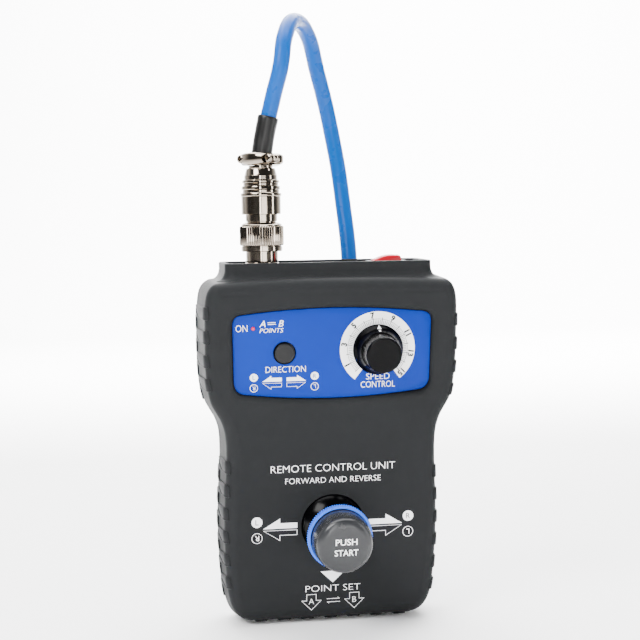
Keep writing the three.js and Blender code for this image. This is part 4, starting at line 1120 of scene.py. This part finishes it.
def knob_mesh(place):
    profile = [(0, -1.5), (10.2, -1.5), (10.38, -1.4), (10.45, -1.2), (10.45, -0.4), (10.4, -0.15),
               (10.2, 0.15), (9.5, 0.95), (8.9, 1.65), (8.45, 2.55), (8.15, 3.3), (7.95, 3.85), (7.6, 4.1),
               (0, 4.1)]
    ribs = [(3.6, 0, 0.4), (4.1, 0, 1), (11.3, -0.12, 1), (11.6, -0.16, 0.7), (11.9, -0.26, 0.3),
            (12.15, -0.45, 0), (12.32, -0.75, 0), (12.38, -1.15, 0), (12.3, -1.6, 0)]
    grip = skin("grip", ribbed(7.5, 0.05, 24, ribs, 8), place)
    grub = rod(1.6, 0, 9, place @ shift(0, 0, 7.2) @ spin(pi / 2, "Y"), 32)
    return combined("knob", turned("skirt", profile, place, 128), joins=[grip],
                    cuts=[rod(7.0, -3, 1.4, place, 64), rod(3.15, 0, 9.6, place), grub])


def cone_mark(name, shape, cone, place):
    """A thin white mark on the knob's cone. shape is (sideways, share along the cone), cone its two ends."""
    (r0, n0), (r1, n1) = cone
    normal = Vector((n1 - n0, r0 - r1)).normalized()
    rings = []
    for out in (-0.02, 0.06):
        ring = []
        for side, share in shape:
            r = r0 + (r1 - r0) * share + normal.x * out
            n = n0 + (n1 - n0) * share + normal.y * out
            ring.append((r * sin(side / r), r * cos(side / r), n))
        rings.append(ring)
    solid(name, skin(name, rings, place), PRINT_WHITE, "gloss_black", "speed_knob")


def make_knob():
    place = face_spot(*DIAL)
    piece("knob", knob_mesh(place), GLOSS_BLACK, "gloss_black", "speed_knob", "speed_knob", crease=24)
    pointer = [(-0.85, 0.92), (0, 0.92), (0.85, 0.92), (0.42, 0.45), (0, -0.02), (-0.42, 0.45)]
    cone_mark("knob_pointer", pointer, ((10.2, 0.15), (8.9, 1.65)), place)
    mark = [(-0.38, 0.0), (0.38, 0.0), (0.38, 1.0), (-0.38, 1.0)]
    cone_mark("knob_mark", mark, ((8.62, 2.2), (8.16, 3.28)), place)


make_panel()
dial_prints()
panel_prints()
make_small_controls()
make_knob()


# ---- case legends
def case_prints():
    middle = 41.7
    white = [words("REMOTE CONTROL UNIT", 3.0, (0, 67.2), width=52, bold=-0.014),
             words("FORWARD AND REVERSE", 2.4, (0, 62.0), width=40, bold=-0.014),
             words("POINT SET", 2.7, (0.1, 15.2), width=23.2, bold=-0.016)]
    upper = half_arrow((-29.3, middle + 0.3), (-22.2, middle + 4.6), middle + 2.6, -15)
    lower = half_arrow((-29.3, middle - 0.4), (-22.2, middle - 5.0), middle - 2.7, -15)
    white += arrow_pairs(upper, lower, 0, 0.2)
    white += lettered_circles(-31.8, 31.8, 45.0, 38.2, 2.25, 0.2)
    white += [words("R", 2.2, (-31.8, 38.2), turn=pi), words("L", 2.2, (31.8, 38.2), turn=pi)]
    white.append(flat_shape([[(-5.2, 22.6), (0, 17.6), (5.2, 22.6)]]))
    for x, letter in ((-9.0, "A"), (9.2, "B")):
        arrow = [(x - 2.1, 12.8), (x - 2.1, 10.1), (x - 4.3, 10.1), (x, 5.8), (x + 4.3, 10.1),
                 (x + 2.1, 10.1), (x + 2.1, 12.8)]
        white += [flat_shape(outlined(arrow, 0.18)), words(letter, 2.4, (x, 9.7), bold=-0.01)]
    white += exchange(0.3, 9.8, 2.8, 0.6, 0.2)
    printed("case_legend", white, PRINT_WHITE, "case_grey", 0.0)
    dark = [words("L", 2.2, (-31.8, 45.0)), words("R", 2.2, (31.8, 45.0))]
    printed("case_legend_letters", dark, CASE_GREY, "case_grey", INK)


case_prints()


# ---- joystick
def make_dome():
    """The dome that closes the joystick's hole, with the neck that carries the ring."""
    place = face_spot(0, STICK["v"])
    big, thick, centre = STICK["dome"], 1.4, STICK["pivot"]
    inner = [(r, centre + n) for r, n in arc(0, 0, big - thick, 14, 74, 16)]
    outer = [(r, centre + n) for r, n in arc(0, 0, big, 14, 60, 16)]
    rim = outer[-1][1]
    neck = [(7.5, rim + 0.2), (7.4, rim + 0.9), (7.2, 13.2), (7.0, 13.4), (2.75, 13.4)]
    profile = [(2.75, 5.0)] + inner[::-1] + outer + neck
    dome = turned("dome", profile, place, 128, closed=True)
    piece("stick_dome", dome, GLOSS_BLACK, "gloss_black", "joystick_dome", "joystick_stick", crease=28)


def make_stick_ring():
    place = face_spot(0, STICK["v"])
    ribs = [(14.0, -0.5, 0.2), (14.12, -0.12, 0.8), (14.35, 0, 1), (17.4, 0, 1), (17.65, -0.1, 0.8),
            (17.8, -0.45, 0.2)]
    rim = skin("rim", ribbed(13.4, 0.55, 84, ribs), place)
    foot = turned("foot", [(0, 13.7), (9, 13.7), (12.6, 14.3), (12.6, 15), (0, 15)], place, 96)
    well = rod(12.4, 15, 20, place, 96)
    bore = rod(2.75, 10, 16, place)
    mesh = combined("ring", rim, joins=[foot], cuts=[well, bore])
    piece("stick_ring", mesh, RING_BLUE, "ring_blue", "joystick_ring", "joystick_stick", crease=35)


def make_start_cap():
    """The push cap, with the prong that works its switch, and its two words."""
    place = face_spot(0, STICK["v"])
    wall = [(12.0, 16.9), (12.0, 19.5), (11.95, 21.5), (11.85, 24.2), (11.72, 25.7), (11.5, 26.9),
            (11.1, 27.8), (10.45, 28.55), (9.5, 29.05), (8.2, 29.4), (6.2, 29.62), (4, 29.75), (2, 29.79),
            (0, 29.8)]
    room = [(0, 15), (10.4, 15), (10.4, 25.4), (8.6, 27.0), (0, 27.4)]
    cap = turned("cap", wall + [(0, 16.9)], place, 128)
    cap = combined("cap", cap, cuts=[turned("room", room, place, 96)])
    cap = combined("cap", cap, joins=[rod(1.5, 17.9, 28, place, 32)])
    piece("start_cap", cap, CAP_GREY, "dark_grey_cap", "start_button", "start_button", crease=40)
    v = STICK["v"]
    lines = [words("PUSH", 2.6, (0.2, v + 2.2), width=8.8, bold=0.012),
             words("START", 2.6, (0.2, v - 2.2), width=9.6, bold=0.012)]
    printed("start_legend", lines, PRINT_WHITE, "dark_grey_cap", 29.79, body="start_button")


make_dome()
make_stick_ring()
make_start_cap()


# ---- CAD nodes that keep their shape
SLOT_LOOKS = {"black_plastic": BLACK, "steel": STEEL, "nickel": NICKEL, "board_green": BOARD_GREEN,
              "case_grey": CASE_GREY, "dark_grey_cap": BUTTON_GREY}


def dress_nodes():
    slots = {entry["node"]: entry["material_slot"] for entry in frame["record"]["subparts"]}
    for name, node in frame["nodes"].items():
        if node.hide_render:
            continue
        look = SLOT_LOOKS[slots[name]]
        for holder in node.material_slots:
            holder.material = look
        if len(node.material_slots) == 0:
            node.data.materials.append(look)


dress_nodes()


# ---- floor and light
def make_floor():
    """A pale sweep: floor and backdrop in one bent sheet."""
    half_width, near, bend_at, bend, top = 3000, -3500, 1500, 600, 2600
    profile = [(near, 0)] + arc(bend_at, bend, bend, -90, 0, 15) + [(bend_at + bend, top)]
    points = [(x, y, z) for y, z in profile for x in (-half_width, half_width)]
    faces = [(2 * i, 2 * i + 1, 2 * i + 3, 2 * i + 2) for i in range(len(profile) - 1)]
    mesh = bpy.data.meshes.new("floor")
    mesh.from_pydata([Vector(p) * MM for p in points], [], faces)
    smooth_by_angle(mesh, 60)
    new_object("floor", mesh, FLOOR)


def area_light(name, spot, target, size, watts):
    data = bpy.data.lights.new(name, "AREA")
    data.shape = "RECTANGLE"
    data.size, data.size_y = size
    data.energy = watts
    lamp = placed(name, data)
    lamp.location = spot
    lamp.rotation_euler = (Vector(target) - Vector(spot)).to_track_quat("-Z", "Y").to_euler()


def make_world():
    """Pale surroundings, darker on the side that faces the controls."""
    world = bpy.data.worlds.new("studio")
    world.use_nodes = True
    nodes, links = world.node_tree.nodes, world.node_tree.links
    place = nodes.new("ShaderNodeTexCoord")
    split = nodes.new("ShaderNodeSeparateXYZ")
    span = nodes.new("ShaderNodeMapRange")
    span.interpolation_type = "SMOOTHSTEP"
    set_inputs(span, {"From Min": -0.1, "From Max": 0.8, "To Min": 0.08, "To Max": 2.5})
    links.new(place.outputs["Generated"], split.inputs["Vector"])
    links.new(split.outputs["Y"], span.inputs["Value"])
    links.new(span.outputs["Result"], nodes["Background"].inputs["Strength"])
    set_inputs(nodes["Background"], {"Color": (1, 1, 1, 1)})
    bpy.context.scene.world = world


def make_lights():
    aim = (0, 0, 0.1)
    area_light("key", (-0.6, -0.5, 0.75), aim, (0.45, 0.45), 16)
    area_light("front_strip", (-0.22, -0.95, 0.35), (0, 0, 0.12), (0.1, 0.7), 5)
    area_light("right_strip", (0.75, -0.35, 0.3), (0, 0, 0.12), (0.12, 0.7), 4)
    area_light("top", (0, 0.1, 1.0), aim, (1.2, 0.6), 24)
    area_light("front_low", (0.15, -0.9, 0.12), (0, 0, 0.03), (0.5, 0.15), 2.5)
    area_light("floor_wash", (0.2, 0.75, 1.0), (0.25, 0.55, 0), (1.2, 0.8), 40)
    area_light("backdrop_left", (0.1, 0.9, 0.95), (0.1, 2.1, 0.4), (0.7, 0.7), 130)
    area_light("backdrop_right", (1.1, 0.9, 0.95), (0.8, 2.1, 0.4), (0.7, 0.7), 130)


make_floor()
make_world()
make_lights()
